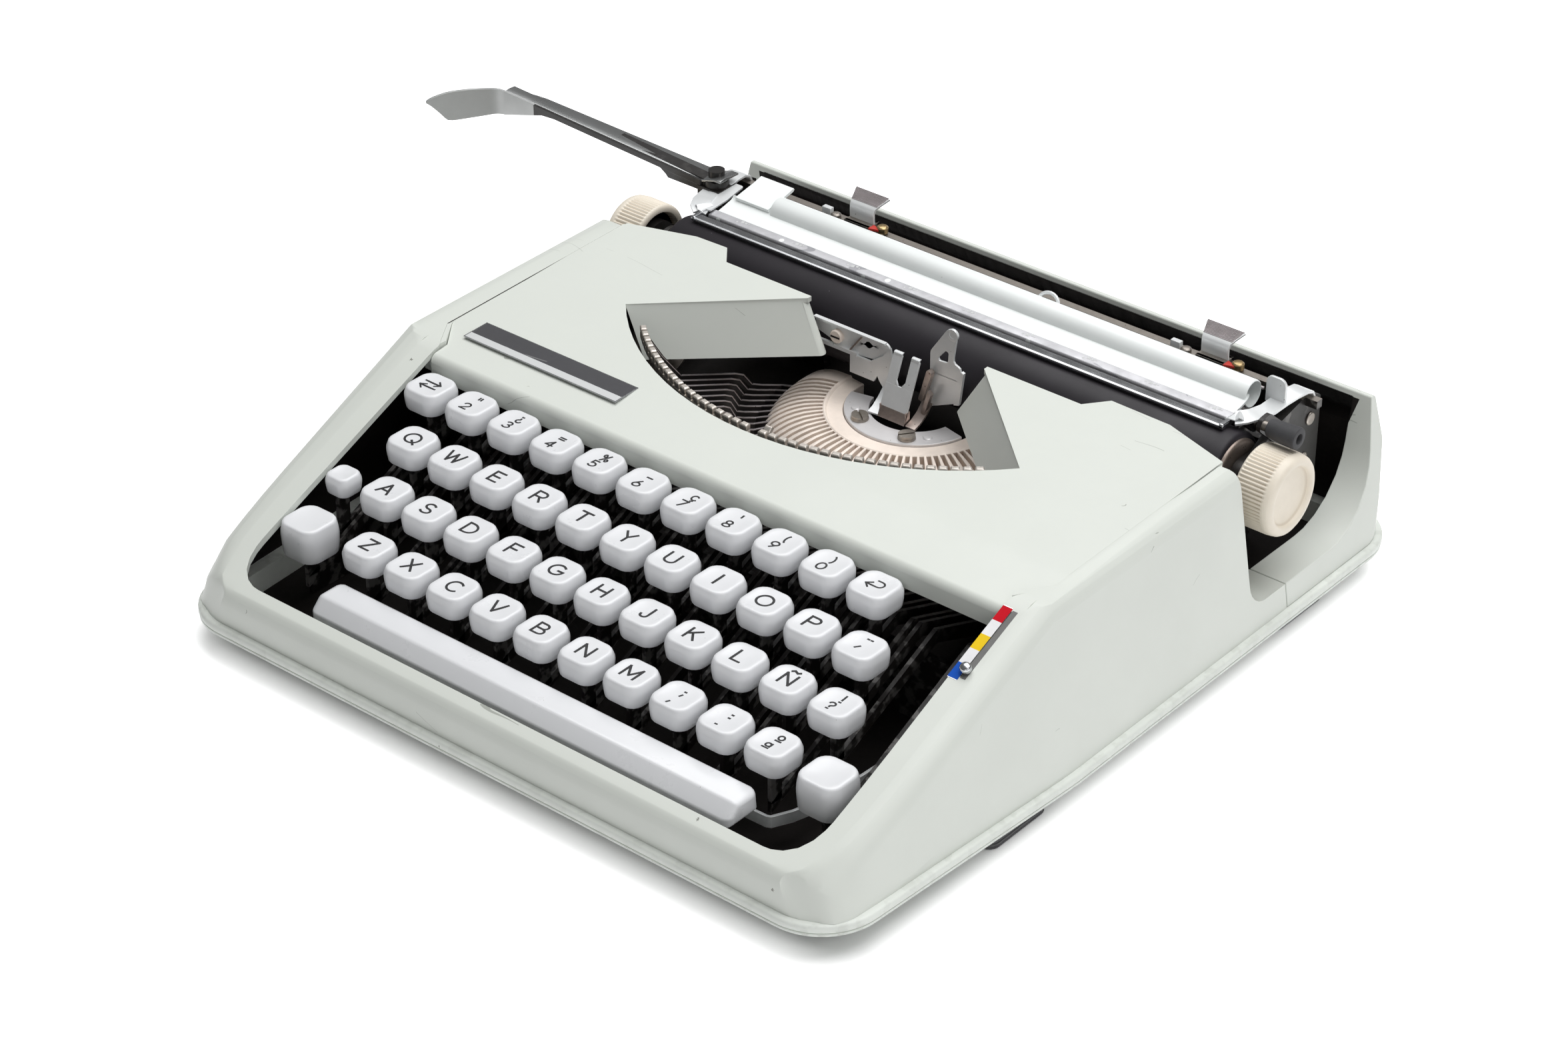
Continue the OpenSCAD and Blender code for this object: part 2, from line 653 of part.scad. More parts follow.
module sign_keys() {
  for (k = [[1, 10], [2, 9], [2, 10], [3, 7], [3, 8], [3, 9]]) typing_key(k[0], k[1]);
}
module margin_release_key() {
  typing_key(0, 0);
}
module backspace_key() {
  typing_key(0, 10);
}

module shift_keys() {
  foot = shift_z - shift_h;
  for (i = [0, 1]) {
    color(key_white) translate([shift_x[i], shift_y, foot]) cap(shift_w, shift_w - 2, shift_h);
    color(black_steel) {
      key_lever(shift_lever_x[i], shift_y, 2);
      translate([shift_lever_x[i] - lever_t / 2, shift_y - 2, lever_top(shift_y) - 1])
        cube([lever_t, 5, foot - lever_top(shift_y) + 1]);
      along_x(shift_lever_x[i] - lever_t / 2, lever_t)
        polygon([[172, -3], [175, -3], [180, fulcrum_z], [172, fulcrum_z + 4]]);
    }
  }
  color(black_steel) rod_x(shift_lever_x[0], shift_lever_x[1] - shift_lever_x[0], 173.5, -2.5, 1.8);
}

module shift_lock_key() {
  foot = lock_z - lock_h;
  color(key_white) translate([lock_x, lock_y, foot]) cap(lock_w, lock_top_w, lock_h);
  color(black_steel) {
    key_lever(lock_lever_x, lock_y);
    translate([lock_lever_x - lever_t / 2, lock_y - 2, lever_top(lock_y) - 1])
      cube([lever_t, 5, foot - lever_top(lock_y) + 1]);
  }
}

module space_bar() {
  foot = space_top_z - space_h;
  bend_y = 37;
  level = lever_top(bend_y);
  color(key_white) along_x(space_mid_x - space_len / 2, space_len)
    polygon(rounded([[space_front_y, foot], [space_back_y, foot], [space_back_y - 0.8, space_top_z],
      [space_front_y + 4.4, space_top_z], [space_front_y, space_top_z - 4.6]], [0, 0, 1.4, 2, 1.5]));
  color(black_steel) for (x = space_arm_x) {
    key_lever(x, bend_y, 0);
    translate([x - lever_t / 2, space_arm_y, level - lever_h]) cube([lever_t, bend_y - space_arm_y + 1, lever_h]);
    translate([x - lever_t / 2, space_arm_y, level - 1]) cube([lever_t, 5, foot - level + 1]);
  }
}

module carriage_rail() {
  color(black_steel) {
    translate([-115, beam_y + 4, beam_z - slide_gap - rail_h]) cube([230, 8, rail_h]);
    for (x = post_x) translate([x - 8, beam_y + 8, floor_z]) cube([16, 4, beam_z - slide_gap - rail_h - floor_z]);
    // Pins of the mainspring drum and of the escapement wheel
    for (x = [post_x[0], post_x[1]])
      translate([x, drum_y - 2, drum_z]) rotate([-90, 0, 0]) cylinder(h = 12, r = rod_r);
  }
}
module mainspring_drum() {
  color(bright_steel) translate([post_x[0], drum_y - 2 + slide_gap, drum_z]) rotate([-90, 0, 0]) difference() {
    union() {
      cylinder(h = 9, r = drum_r - 1.5);
      cylinder(h = 1, r = drum_r);
      translate([0, 0, 8]) cylinder(h = 1, r = drum_r);
    }
    translate([0, 0, -1]) cylinder(h = 20, r = rod_r + run_fit);
  }
}
module escapement_wheel() {
  teeth = 30;
  color("#b08d57") translate([post_x[1], drum_y - 2 + slide_gap, drum_z]) rotate([-90, 0, 0]) difference() {
    union() {
      linear_extrude(2) polygon([for (i = [0:2 * teeth - 1]) (i % 2 == 0 ? 11.5 : 9.5)
        * [cos(i * 180 / teeth), sin(i * 180 / teeth)]]);
      cylinder(h = 7, r = 8);
    }
    translate([0, 0, -1]) cylinder(h = 20, r = rod_r + run_fit);
  }
}

module carriage_frame() {
  boss = shaft_r + 2.6;
  plate = rounded([[platen_y - boss, platen_z - boss], [platen_y + boss, platen_z - boss], [beam_y, beam_z],
    [beam_y + beam_w, beam_z], [beam_y + beam_w, stop_bar_z], [stop_bar_y + 4, stop_bar_z + 3],
    [stop_bar_y - 2, stop_bar_z + 3], [bail_y - 3, bail_z + 4.4], [platen_y + boss, platen_z + boss],
    [platen_y - boss, platen_z + boss]], [boss - 0.4, 3, 2, 1, 1, 1, 1, 2, 3, boss - 0.4]);
  color(black_steel) {
    translate([-end_x - eps, beam_y, beam_z]) cube([2 * end_x + 2 * eps, beam_w, beam_h]);
    difference() {
      for (x = [-end_x - end_t, end_x]) along_x(x, end_t) polygon(plate);
      rod_x(-big / 2, big, platen_y, platen_z, shaft_r + run_fit);
    }
    // Bar of the margin stops
    translate([-end_x - end_t - 4.5, stop_bar_y, stop_bar_z]) cube([2 * (end_x + end_t + 4.5), 3, 3]);
    // Pins of the paper bail, of the two release levers and of the return lever
    for (x = [-end_x - eps, end_x - 7]) rod_x(x, 7 + eps, bail_y, bail_z, 1.5);
    rod_x(end_x - 7, 7 + eps, beam_y + 5, beam_z + beam_h + 5, 1.5);
    rod_x(end_x + end_t - eps, 3, 255, 45, 1.5);
    translate([arm_x - 5, arm_y - 5, bail_z + 1]) cube([10, 10, arm_z - bail_z - 1]);
    translate([arm_x, arm_y, arm_z - 1]) cylinder(h = 7, r = 3);
  }
}
module platen() {
  color(rubber_black) rod_x(-platen_len / 2, platen_len, platen_y, platen_z, platen_r);
  color(bright_steel) rod_x(-end_x - end_t - knob_w - 2, 2 * (end_x + end_t + knob_w + 2), platen_y, platen_z, shaft_r);
}
module platen_knobs() {
  ribs = 48;
  color(cream) for (s = [0, 1]) mirror([s, 0, 0]) translate([end_x + end_t + 3.4, platen_y, platen_z]) rotate([0, 90, 0])
    difference() {
      linear_extrude(knob_w) polygon([for (i = [0:2 * ribs - 1]) (knob_r - (i % 2 == 0 ? 0 : 0.5))
        * [cos(i * 180 / ribs), sin(i * 180 / ribs)]]);
      translate([0, 0, knob_w - 2]) cylinder(h = 5, r = knob_r - 4);
      translate([0, 0, -1]) cylinder(h = knob_w, r = shaft_r);
    }
}
module paper_table() {
  half = end_x - 9;
  table = [[platen_y + 5.6, platen_z + 15], [tube_y, tube_z - 0.6], [tube_y, tube_z + 0.6], [platen_y + 5.6, platen_z + 16]];
  support = [[tube_y - 3.6, tube_z - 1], [tube_y + 10, tube_z + 3], [tube_y + 10, tube_z + 4], [tube_y - 3.6, tube_z + 1.6]];
  color(paint) {
    along_x(-half, 2 * half) polygon(table);
    rod_x(-half + 19.5, 2 * half - 20.1, tube_y, tube_z, tube_r);
    // Flat end piece beside the tube, and the two brackets
    along_x(-half + 3.5, 15.4) polygon(support);
    for (x = [-half + 6, half - 14]) translate([x, beam_y - 4, beam_z + beam_h]) cube([6, 3, tube_z - beam_z - beam_h]);
    translate([-half + 6, tube_y - 2, tube_z - 2]) cube([6, beam_y - 1 - tube_y + 2, 2]);
    for (x = [-half + 6, half - 14]) translate([x, beam_y - 4, beam_z + beam_h]) cube([6, 8, 2]);
  }
}
module paper_bail() {
  bar_y = platen_y + 0.8;
  bar_z = platen_z + platen_r + 0.9;
  half = end_x - 6.6;
  color(bright_steel) {
    translate([-half, bar_y - 2, bar_z]) cube([2 * half, 4, 1.2]);
    for (x = [-half, half - 1.6]) difference() {
      along_x(x, 1.6) union() {
        polygon([[bar_y - 2, bar_z], [platen_y + 8, bar_z - 0.2], [bail_y - 2, bail_z - 2.2],
          [bail_y, bail_z + 3], [platen_y + 11, bar_z + 1.8], [bar_y - 2, bar_z + 1.2]]);
        translate([bail_y, bail_z]) circle(r = 3);
      }
      rod_x(-big / 2, big, bail_y, bail_z, 1.5 + run_fit);
    }
  }
}
module margin_stop(x) {
  gap = slide_gap;
  color(bright_steel) translate([x, stop_bar_y, stop_bar_z]) difference() {
    union() {
      translate([-5.5, -1.8, -1.8]) cube([11, 6.6, 6.6]);
      along_x(-5.5, 11) polygon([[1.6, 4], [2.8, 4], [2.8, 10], [1.6, 10.4]]);
      hull() {
        along_x(-5.5, 11) polygon([[1.6, 9.4], [2.8, 9.4], [1.6, 10.4]]);
        along_x(-7.6, 15.2) polygon([[8.4, 11.8], [8, 12.8], [7.6, 12.6]]);
      }
    }
    translate([-20, -gap, -gap]) cube([40, 3 + 2 * gap, 3 + 2 * gap]);
  }
}
module margin_stop_left() {
  margin_stop(stop_x[0]);
}
module margin_stop_right() {
  margin_stop(stop_x[1]);
}
module return_lever() {
  z = arm_z + 1;
  bend = [arm_x - arm_len, arm_y - 2, z + arm_rise];
  color(bright_steel) {
    difference() {
      translate([arm_x, arm_y, arm_z + slide_gap]) cylinder(h = 4, r = 5);
      translate([arm_x, arm_y, 0]) cylinder(h = big, r = 3 + run_fit);
    }
    bar([arm_x - 4, arm_y, z + 1.6], [bend.x, bend.y, bend.z], 9, 2);
    translate([bend.x + 0.5, bend.y + 3, bend.z - 6.6]) rotate([0, 0, 240]) cube([paddle_len, 1.6, 11]);
  }
}
module paper_release_lever() {
  y = beam_y + 5;
  z = beam_z + beam_h + 5;
  color(bright_steel) {
    difference() {
      along_x(end_x - 6, 1.6) union() {
        polygon([[y - 3, z], [y + 3, z], [y - 8, z + 16], [y - 9.6, z + 15]]);
        translate([y, z]) circle(r = 3);
      }
      rod_x(-big / 2, big, y, z, 1.5 + run_fit);
    }
    along_y(y - 9.6, 1.4) polygon(rounded([[end_x - 6, z + 13], [end_x + 1.6, z + 13], [end_x + 1.6, z + 23],
      [end_x - 6, z + 23]], [1, 1, 2.6, 2.6]));
  }
}
module carriage_release_lever() {
  x = end_x + end_t + slide_gap;
  color(bright_steel) difference() {
    along_x(x, 1.6) union() {
      polygon([[252, 44], [258, 46], [240, 63], [234, 60]]);
      translate([255, 45]) circle(r = 3);
    }
    rod_x(-big / 2, big, 255, 45, 1.5 + run_fit);
  }
  color(bright_steel) rod_x(x + 1, 4, 236.5, 60.4, 1.8);
  color("#5b5a5f") rod_x(x + 3.7, 14, 236.5, 60.4, 4);
}

in_frame() base_pan();
in_frame() rubber_feet();
in_frame() body_shell();
in_frame() rear_shell();
in_frame() main_frame();
in_frame() type_segment();
in_frame() typebars();
in_frame() type_guide();
in_frame() carriage_rail();
in_frame() ribbon_cover();
in_frame() ribbon_vibrator();
in_frame() spool_left();
in_frame() spool_right();
in_frame() colour_lever();
in_frame() typebar_y();
in_frame() mainspring_drum();
in_frame() escapement_wheel();
in_frame() carriage_frame();
in_frame() platen();
in_frame() platen_knobs();
in_frame() paper_table();
in_frame() paper_bail();
in_frame() return_lever();
in_frame() margin_stop_left();
in_frame() margin_stop_right();
in_frame() paper_release_lever();
in_frame() carriage_release_lever();
in_frame() space_bar();
in_frame() shift_keys();
in_frame() shift_lock_key();
in_frame() margin_release_key();
in_frame() backspace_key();
in_frame() number_keys();
in_frame() sign_keys();
for (r = [0:2]) for (c = [0:len(letter_rows[r]) - 1])
  in_frame() typing_key(r + 1, c);
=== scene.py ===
# %% [markdown]
# # A low portable typewriter
# The CAD part gives every solid its size and its joint. This lesson dresses it: softened sheet metal,
# white key caps with legends, a slotted segment with its typebars, and a bright carriage.
# The frame comes first, because every piece made here rides on one of its bodies.

# %% Load the frame
import json
import math
import bmesh
import bpy
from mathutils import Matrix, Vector

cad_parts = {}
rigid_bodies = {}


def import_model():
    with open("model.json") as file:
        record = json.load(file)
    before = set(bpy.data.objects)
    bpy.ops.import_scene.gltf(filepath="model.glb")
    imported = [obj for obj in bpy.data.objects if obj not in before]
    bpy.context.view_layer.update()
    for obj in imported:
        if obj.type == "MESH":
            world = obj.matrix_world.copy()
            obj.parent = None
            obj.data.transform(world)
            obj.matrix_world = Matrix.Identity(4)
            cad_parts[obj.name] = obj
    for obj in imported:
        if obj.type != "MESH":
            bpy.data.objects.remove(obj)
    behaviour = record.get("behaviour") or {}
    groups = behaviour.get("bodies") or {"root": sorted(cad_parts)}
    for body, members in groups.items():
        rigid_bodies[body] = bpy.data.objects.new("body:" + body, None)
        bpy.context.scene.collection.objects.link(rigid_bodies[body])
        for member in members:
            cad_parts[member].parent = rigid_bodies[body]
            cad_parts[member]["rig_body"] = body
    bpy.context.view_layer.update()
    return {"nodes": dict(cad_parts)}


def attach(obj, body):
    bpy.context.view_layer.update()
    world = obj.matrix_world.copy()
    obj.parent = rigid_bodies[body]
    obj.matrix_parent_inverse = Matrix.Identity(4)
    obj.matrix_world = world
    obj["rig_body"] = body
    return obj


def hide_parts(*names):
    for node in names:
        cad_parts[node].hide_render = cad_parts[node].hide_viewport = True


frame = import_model()

# %% [markdown]
# The drawing measures from the foot of the front wall, in millimetres: x from the middle plane,
# y backwards, z up from the lip. One function turns such a point into the frame's metres, so that
# the sizes below can be read off the machine with a ruler. The heights of the deck and of the sloping
# keyboard frame are needed all over, and so is a smooth step from 0 to 1.

# %% Millimetres on the machine to metres in the frame
DRAWING_ORIGIN = Vector((46.1, -149.3, 14.0))


def metres(p):
    return (Vector(p) + DRAWING_ORIGIN) / 1000


FRONT_H, KNEE_Y, KNEE_Z = 8.5, 107.5, 57.3
SLOPE = (KNEE_Z - FRONT_H) / KNEE_Y
SEEN_SLOPE, DECK_SLOPE = 0.4217, 0.02


def deck_z(y):
    return KNEE_Z + DECK_SLOPE * (y - KNEE_Y)


def slope_z(y):
    return FRONT_H + SLOPE * y


def frame_z(y):
    """The keyboard frame as the eye sees it: its front edge stands a little higher than the solid's."""
    return KNEE_Z - SEEN_SLOPE * (KNEE_Y - y)


def limited(share):
    return min(1.0, max(0.0, share))


def ramp(value, start, stop):
    t = limited((value - start) / (stop - start))
    return t * t * (3 - 2 * t)


print("slope of the keyboard frame", round(math.degrees(math.atan(SLOPE)), 1), "degrees")

# %% [markdown]
# A `Form` collects points and faces in millimetres and becomes one mesh. It knows a few ways of
# making a surface: a loft through rings of points, a plate cut to an outline, and a turned body.
# Building from rings keeps the faces in even rows, so they shade smoothly without any clean-up.

# %% A collector of points and faces


def oblong(x0, x1, y0, y1):
    return [(x0, y0), (x1, y0), (x1, y1), (x0, y1)]


class Form:
    def __init__(self):
        self.points, self.faces, self.finish, self.smooth = [], [], [], []

    def add(self, points, faces, finish=0, smooth=True):
        start = len(self.points)
        self.points += [tuple(p) for p in points]
        for f in faces:
            self.faces.append([start + i for i in f])
            self.finish.append(finish)
            self.smooth.append(smooth)

    def loft(self, rings, finish=0, lids=True, loop=False):
        """Skin over rings with the same number of points, with lids on the ends or closed in a loop."""
        n, faces = len(rings[0]), []
        for i in range(len(rings) if loop else len(rings) - 1):
            a, b = i * n, ((i + 1) % len(rings)) * n
            for j in range(n):
                k = (j + 1) % n
                faces.append((a + j, a + k, b + k, b + j))
        if lids and not loop:
            faces.append(tuple(range(n - 1, -1, -1)))
            faces.append(tuple((len(rings) - 1) * n + j for j in range(n)))
        self.add([p for ring in rings for p in ring], faces, finish)

    def plate(self, outline, lift, finish=0):
        """A flat outline carried from lift(p, 0) to lift(p, 1)."""
        self.loft([[lift(p, t) for p in outline] for t in (0, 1)], finish)

    def box(self, low, high, finish=0):
        (x0, y0, z0), (x1, y1, z1) = low, high
        self.plate(oblong(x0, x1, y0, y1), lambda p, t: (p[0], p[1], z0 + t * (z1 - z0)), finish)

    def turned(self, profile, place, steps=48, finish=0, ribs=None):
        """A profile of (along, radius) turned about an axis. place(along, across, up) sets it in space."""
        rings = []
        for along, r in profile:
            ring = []
            for i in range(steps):
                a = 2 * math.pi * i / steps
                grip = ribs(along, i) if ribs else 0.0
                ring.append(place(along, (r - grip) * math.cos(a), (r - grip) * math.sin(a)))
            rings.append(ring)
        self.loft(rings, finish)


print("form collector ready")

# %% [markdown]
# Outlines with rounded corners are needed everywhere, from the lip to the key caps, so one function
# rounds any outline. A wire is a round section carried along a path; a strip is a flat one.

# %% Outlines, wires and strips


def rounded(points, radii, n=6):
    """The outline with an arc of n steps at each corner whose radius is not nought."""
    made = []
    for i, (b, r) in enumerate(zip(points, radii)):
        b, a, c = Vector(b), Vector(points[i - 1]), Vector(points[(i + 1) % len(points)])
        if r == 0:
            made.append(b)
            continue
        u, v = (a - b).normalized(), (c - b).normalized()
        half = u.angle(v) / 2
        middle = b + (u + v).normalized() * (r / math.sin(half))
        p, q = b + u * (r / math.tan(half)) - middle, b + v * (r / math.tan(half)) - middle
        made += [middle + p.lerp(q, k / n).normalized() * r for k in range(n + 1)]
    return [tuple(p) for p in made]


def along_path(form, path, section, finish=0, up=(0, 0, 1)):
    """Carries a flat section of (side, up) along the points of a path."""
    path, rings = [Vector(p) for p in path], []
    for i, p in enumerate(path):
        ahead = (path[min(i + 1, len(path) - 1)] - path[max(i - 1, 0)]).normalized()
        side = ahead.cross(Vector(up)).normalized()
        rise = side.cross(ahead).normalized()
        rings.append([p + side * s + rise * u for s, u in section])
    form.loft(rings, finish)


def round_section(r, n=12):
    return [(r * math.cos(2 * math.pi * i / n), r * math.sin(2 * math.pi * i / n)) for i in range(n)]


def flat_section(w, h):
    return oblong(-w / 2, w / 2, -h / 2, h / 2)


def across(axis, centre):
    """Place for a body turned about the named axis through centre."""
    cx, cy, cz = centre
    if axis == "x":
        return lambda s, a, b: (cx + s, cy + a, cz + b)
    if axis == "y":
        return lambda s, a, b: (cx + b, cy + s, cz + a)
    return lambda s, a, b: (cx + a, cy + b, cz + s)


def sided(s, profile, out=0.0):
    """A profile of the right side (s = 1) or its mirror image (s = -1), moved outwards by out."""
    return [(s * (along + out), r) for along, r in profile]


print("a rounded square has", len(rounded(oblong(0, 1, 0, 1), [0.3] * 4)), "points")

# %% [markdown]
# A form turns into a piece here. Real edges are never razor sharp, so a piece given an edge width gets a
# small bevel on its hard edges, and weighted normals keep the flat faces flat; other pieces get their hard
# edges marked sharp by angle. The piece then rides on its body and stands for its CAD node.

# %% From form to piece
HARD_EDGE = 34


def set_up(name, mesh, body, nodes, edge):
    """The mesh as an object with rolled edges, riding on its body and standing for its nodes."""
    obj = bpy.data.objects.new(name, mesh)
    bpy.context.scene.collection.objects.link(obj)
    if edge:
        bevel = obj.modifiers.new("soft_edges", "BEVEL")
        bevel.width, bevel.segments = edge / 1000, 2
        bevel.limit_method, bevel.angle_limit = "ANGLE", math.radians(HARD_EDGE)
        bevel.use_clamp_overlap = True
        obj.modifiers.new("even_shading", "WEIGHTED_NORMAL").keep_sharp = True
    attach(obj, body)
    if nodes:
        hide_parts(*nodes)


def piece(name, form, finishes, body, nodes, edge=0.0, hard_angle=50):
    mesh = bpy.data.meshes.new(name)
    mesh.from_pydata([metres(p) for p in form.points], [], form.faces)
    mesh.validate()
    for m in finishes:
        mesh.materials.append(m)
    mesh.polygons.foreach_set("material_index", form.finish)
    mesh.polygons.foreach_set("use_smooth", form.smooth)
    clean = bmesh.new()
    clean.from_mesh(mesh)
    bmesh.ops.recalc_face_normals(clean, faces=clean.faces)
    clean.to_mesh(mesh)
    clean.free()
    if not edge:
        mesh.set_sharp_from_angle(angle=math.radians(hard_angle))
    set_up(name, mesh, body, nodes, edge)


print("pieces ready")

# %% [markdown]
# ## Finishes
# The wear on this machine repeats: faint stains, a fine grain in the paint, dust specks, hairline
# scratches, brushed lines in bright metal. Each is a shader node group, built once, with named
# sockets. A group only hands out numbers that change over the surface; the shader itself stays in
# the material, where gloss and metal are set directly.

# %% Node helpers


def new_group(name, inputs, output):
    tree = bpy.data.node_groups.new(name, "ShaderNodeTree")
    for label, value in inputs.items():
        socket = tree.interface.new_socket(label, in_out="INPUT", socket_type="NodeSocketFloat")
        socket.default_value = value
    tree.interface.new_socket(output, in_out="OUTPUT", socket_type="NodeSocketFloat")
    return tree, tree.nodes.new("NodeGroupInput").outputs, tree.nodes.new("NodeGroupOutput").inputs


def add_node(tree, kind, settings=None, **values):
    n = tree.nodes.new(kind)
    for key, value in (settings or {}).items():
        setattr(n, key, value)
    for key, value in values.items():
        socket = n.inputs[int(key[1:])] if key[0] == "i" and key[1:].isdigit() else n.inputs[key]
        if isinstance(value, bpy.types.NodeSocket):
            tree.links.new(value, socket)
        else:
            socket.default_value = value
    return n


def sums(tree, operation, a, b=0.5, c=0.5):
    return add_node(tree, "ShaderNodeMath", {"operation": operation}, i0=a, i1=b, i2=c).outputs[0]


def window(tree, value, low, high, most=1.0):
    """0 below low, most above high, smooth between them."""
    limits = {"Value": value, "From Min": low, "From Max": high, "To Max": most}
    return add_node(tree, "ShaderNodeMapRange", {"interpolation_type": "SMOOTHSTEP"}, **limits).outputs[0]


def place_of(tree, stretch=(1, 1, 1), turn=(0, 0, 0)):
    where = tree.nodes.new("ShaderNodeTexCoord").outputs["Object"]
    return add_node(tree, "ShaderNodeMapping", Vector=where, Scale=stretch, Rotation=turn).outputs[0]


print("node helpers ready")

# %% [markdown]
# The groups work in the object's own coordinates, in metres, so a scale of 900 means features about a
# millimetre apart. Where a mask should fade it goes through the smooth window; where it should be crisp,
# like a chip in paint, it is cut off at a limit.

# %% Shared effects: stain, grain, specks, scratches, brushed lines, worn edges
stain, given, out = new_group("stain", {"Scale": 20, "Contrast": 0.25}, "Stain")
blot = add_node(stain, "ShaderNodeTexNoise", Vector=place_of(stain), Scale=given["Scale"], Detail=5.0, Roughness=0.62)
low = sums(stain, "SUBTRACT", 0.5, given["Contrast"])
high = sums(stain, "ADD", 0.5, given["Contrast"])
stain.links.new(window(stain, blot.outputs["Fac"], low, high), out["Stain"])

grain, given, out = new_group("grain", {"Scale": 900}, "Height")
peel = add_node(grain, "ShaderNodeTexNoise", Vector=place_of(grain), Scale=given["Scale"], Detail=2.0)
grain.links.new(peel.outputs["Fac"], out["Height"])

specks, given, out = new_group("specks", {"Scale": 150, "Size": 0.08, "Share": 0.2}, "Mask")
wobble = add_node(specks, "ShaderNodeTexNoise", Vector=place_of(specks), Scale=2500.0, Detail=1.0)
cell = add_node(specks, "ShaderNodeTexVoronoi", Vector=place_of(specks), Scale=given["Scale"])
reach = sums(specks, "MULTIPLY_ADD", wobble.outputs["Fac"], 0.1, -0.05)
far = sums(specks, "ADD", cell.outputs["Distance"], reach)
spot = sums(specks, "LESS_THAN", far, given["Size"])
pick = add_node(specks, "ShaderNodeSeparateColor", Color=cell.outputs["Color"]).outputs[0]
chosen = sums(specks, "LESS_THAN", pick, given["Share"])
specks.links.new(sums(specks, "MULTIPLY", spot, chosen), out["Mask"])

scratches, given, out = new_group("scratches", {"Width": 0.004, "Share": 0.62}, "Mask")
line = add_node(scratches, "ShaderNodeTexNoise", Vector=place_of(scratches, (14, 60, 60), (0.3, 0.1, 0.9)),
                Scale=1.0, Detail=1.0)
off = sums(scratches, "ABSOLUTE", sums(scratches, "SUBTRACT", line.outputs["Fac"], 0.5))
thin = sums(scratches, "LESS_THAN", off, given["Width"])
area = add_node(scratches, "ShaderNodeTexNoise", Vector=place_of(scratches), Scale=38.0, Detail=2.0)
here = sums(scratches, "GREATER_THAN", area.outputs["Fac"], given["Share"])
scratches.links.new(sums(scratches, "MULTIPLY", thin, here), out["Mask"])

brushed, given, out = new_group("brushed", {"Scale": 1.0}, "Height")
hairs = add_node(brushed, "ShaderNodeTexNoise", Vector=place_of(brushed, (60, 2600, 2600)), Scale=given["Scale"],
                 Detail=3.0)
brushed.links.new(hairs.outputs["Fac"], out["Height"])

worn_edge, given, out = new_group("worn_edge", {"From": 0.53, "To": 0.6, "Scale": 260}, "Mask")
bend = worn_edge.nodes.new("ShaderNodeNewGeometry").outputs["Pointiness"]
edge_line = window(worn_edge, bend, given["From"], given["To"])
patch = add_node(worn_edge, "ShaderNodeTexNoise", Vector=place_of(worn_edge), Scale=given["Scale"], Detail=3.0)
broken = window(worn_edge, patch.outputs["Fac"], 0.5, 0.62)
worn_edge.links.new(sums(worn_edge, "MULTIPLY", edge_line, broken), out["Mask"])

grime, given, out = new_group("grime", {"From": 0.49, "To": 0.44}, "Mask")
dip = grime.nodes.new("ShaderNodeNewGeometry").outputs["Pointiness"]
grime.links.new(window(grime, dip, given["From"], given["To"]), out["Mask"])
print("effect groups", [g.name for g in bpy.data.node_groups])

# %% [markdown]
# A finish starts from one colour. Stains shift it a little, masks from the groups lay other colours
# over it, and the same stain makes the gloss uneven, because a surface that has been touched for
# years never shines evenly. Bump carries the paint's grain or the metal's brushing.

# %% A function for a finish


def finish(name, colour, rough, metal=0.0, stained=(0.1, 30.0), uneven=0.08, layers=(), bump=None, coat=0.0,
           specular=0.5):
    """layers: (group, its values, colour). bump: (group, its values, strength, height in mm)."""
    m = bpy.data.materials.new(name)
    m.use_nodes = True
    tree = m.node_tree
    shader = tree.nodes["Principled BSDF"]
    shader.inputs["Metallic"].default_value = metal
    shader.inputs["Coat Weight"].default_value = coat
    shader.inputs["Coat Roughness"].default_value = 0.12
    shader.inputs["Specular IOR Level"].default_value = specular

    def effect(group, values):
        n = tree.nodes.new("ShaderNodeGroup")
        n.node_tree = group
        for key, value in values.items():
            n.inputs[key].default_value = value
        return n.outputs[0]

    depth, scale = stained
    blotch = effect(stain, {"Scale": scale, "Contrast": 0.3})
    dark = [c * (1 - depth) for c in colour]
    shade = add_node(tree, "ShaderNodeMix", {"data_type": "RGBA"}, Factor=blotch)
    shade.inputs[6].default_value, shade.inputs[7].default_value = (*colour, 1), (*dark, 1)
    shown = shade.outputs[2]
    for group, values, over in layers:
        mix = add_node(tree, "ShaderNodeMix", {"data_type": "RGBA"}, Factor=effect(group, values))
        tree.links.new(shown, mix.inputs[6])
        mix.inputs[7].default_value = (*over, 1)
        shown = mix.outputs[2]
    tree.links.new(shown, shader.inputs["Base Color"])
    tree.links.new(sums(tree, "MULTIPLY_ADD", blotch, uneven, rough), shader.inputs["Roughness"])
    if bump:
        group, values, strength, height = bump
        n = add_node(tree, "ShaderNodeBump", Height=effect(group, values), Strength=strength, Distance=height / 1000)
        tree.links.new(n.outputs[0], shader.inputs["Normal"])
    return m


def spots(scale, size, share, colour):
    return specks, {"Scale": scale, "Size": size, "Share": share}, colour


def scored(width, share, colour):
    return scratches, {"Width": width, "Share": share}, colour


def paint_grain(scale, strength, height):
    return grain, {"Scale": scale}, strength, height


def fine_lines(strength, height):
    return brushed, {}, strength, height


print("finish function ready")

# %% [markdown]
# The paints and the bright metals come first. The body is a pale grey green, the keys are a cool white and
# the knobs cream; chips and worn edges show a darker ground.

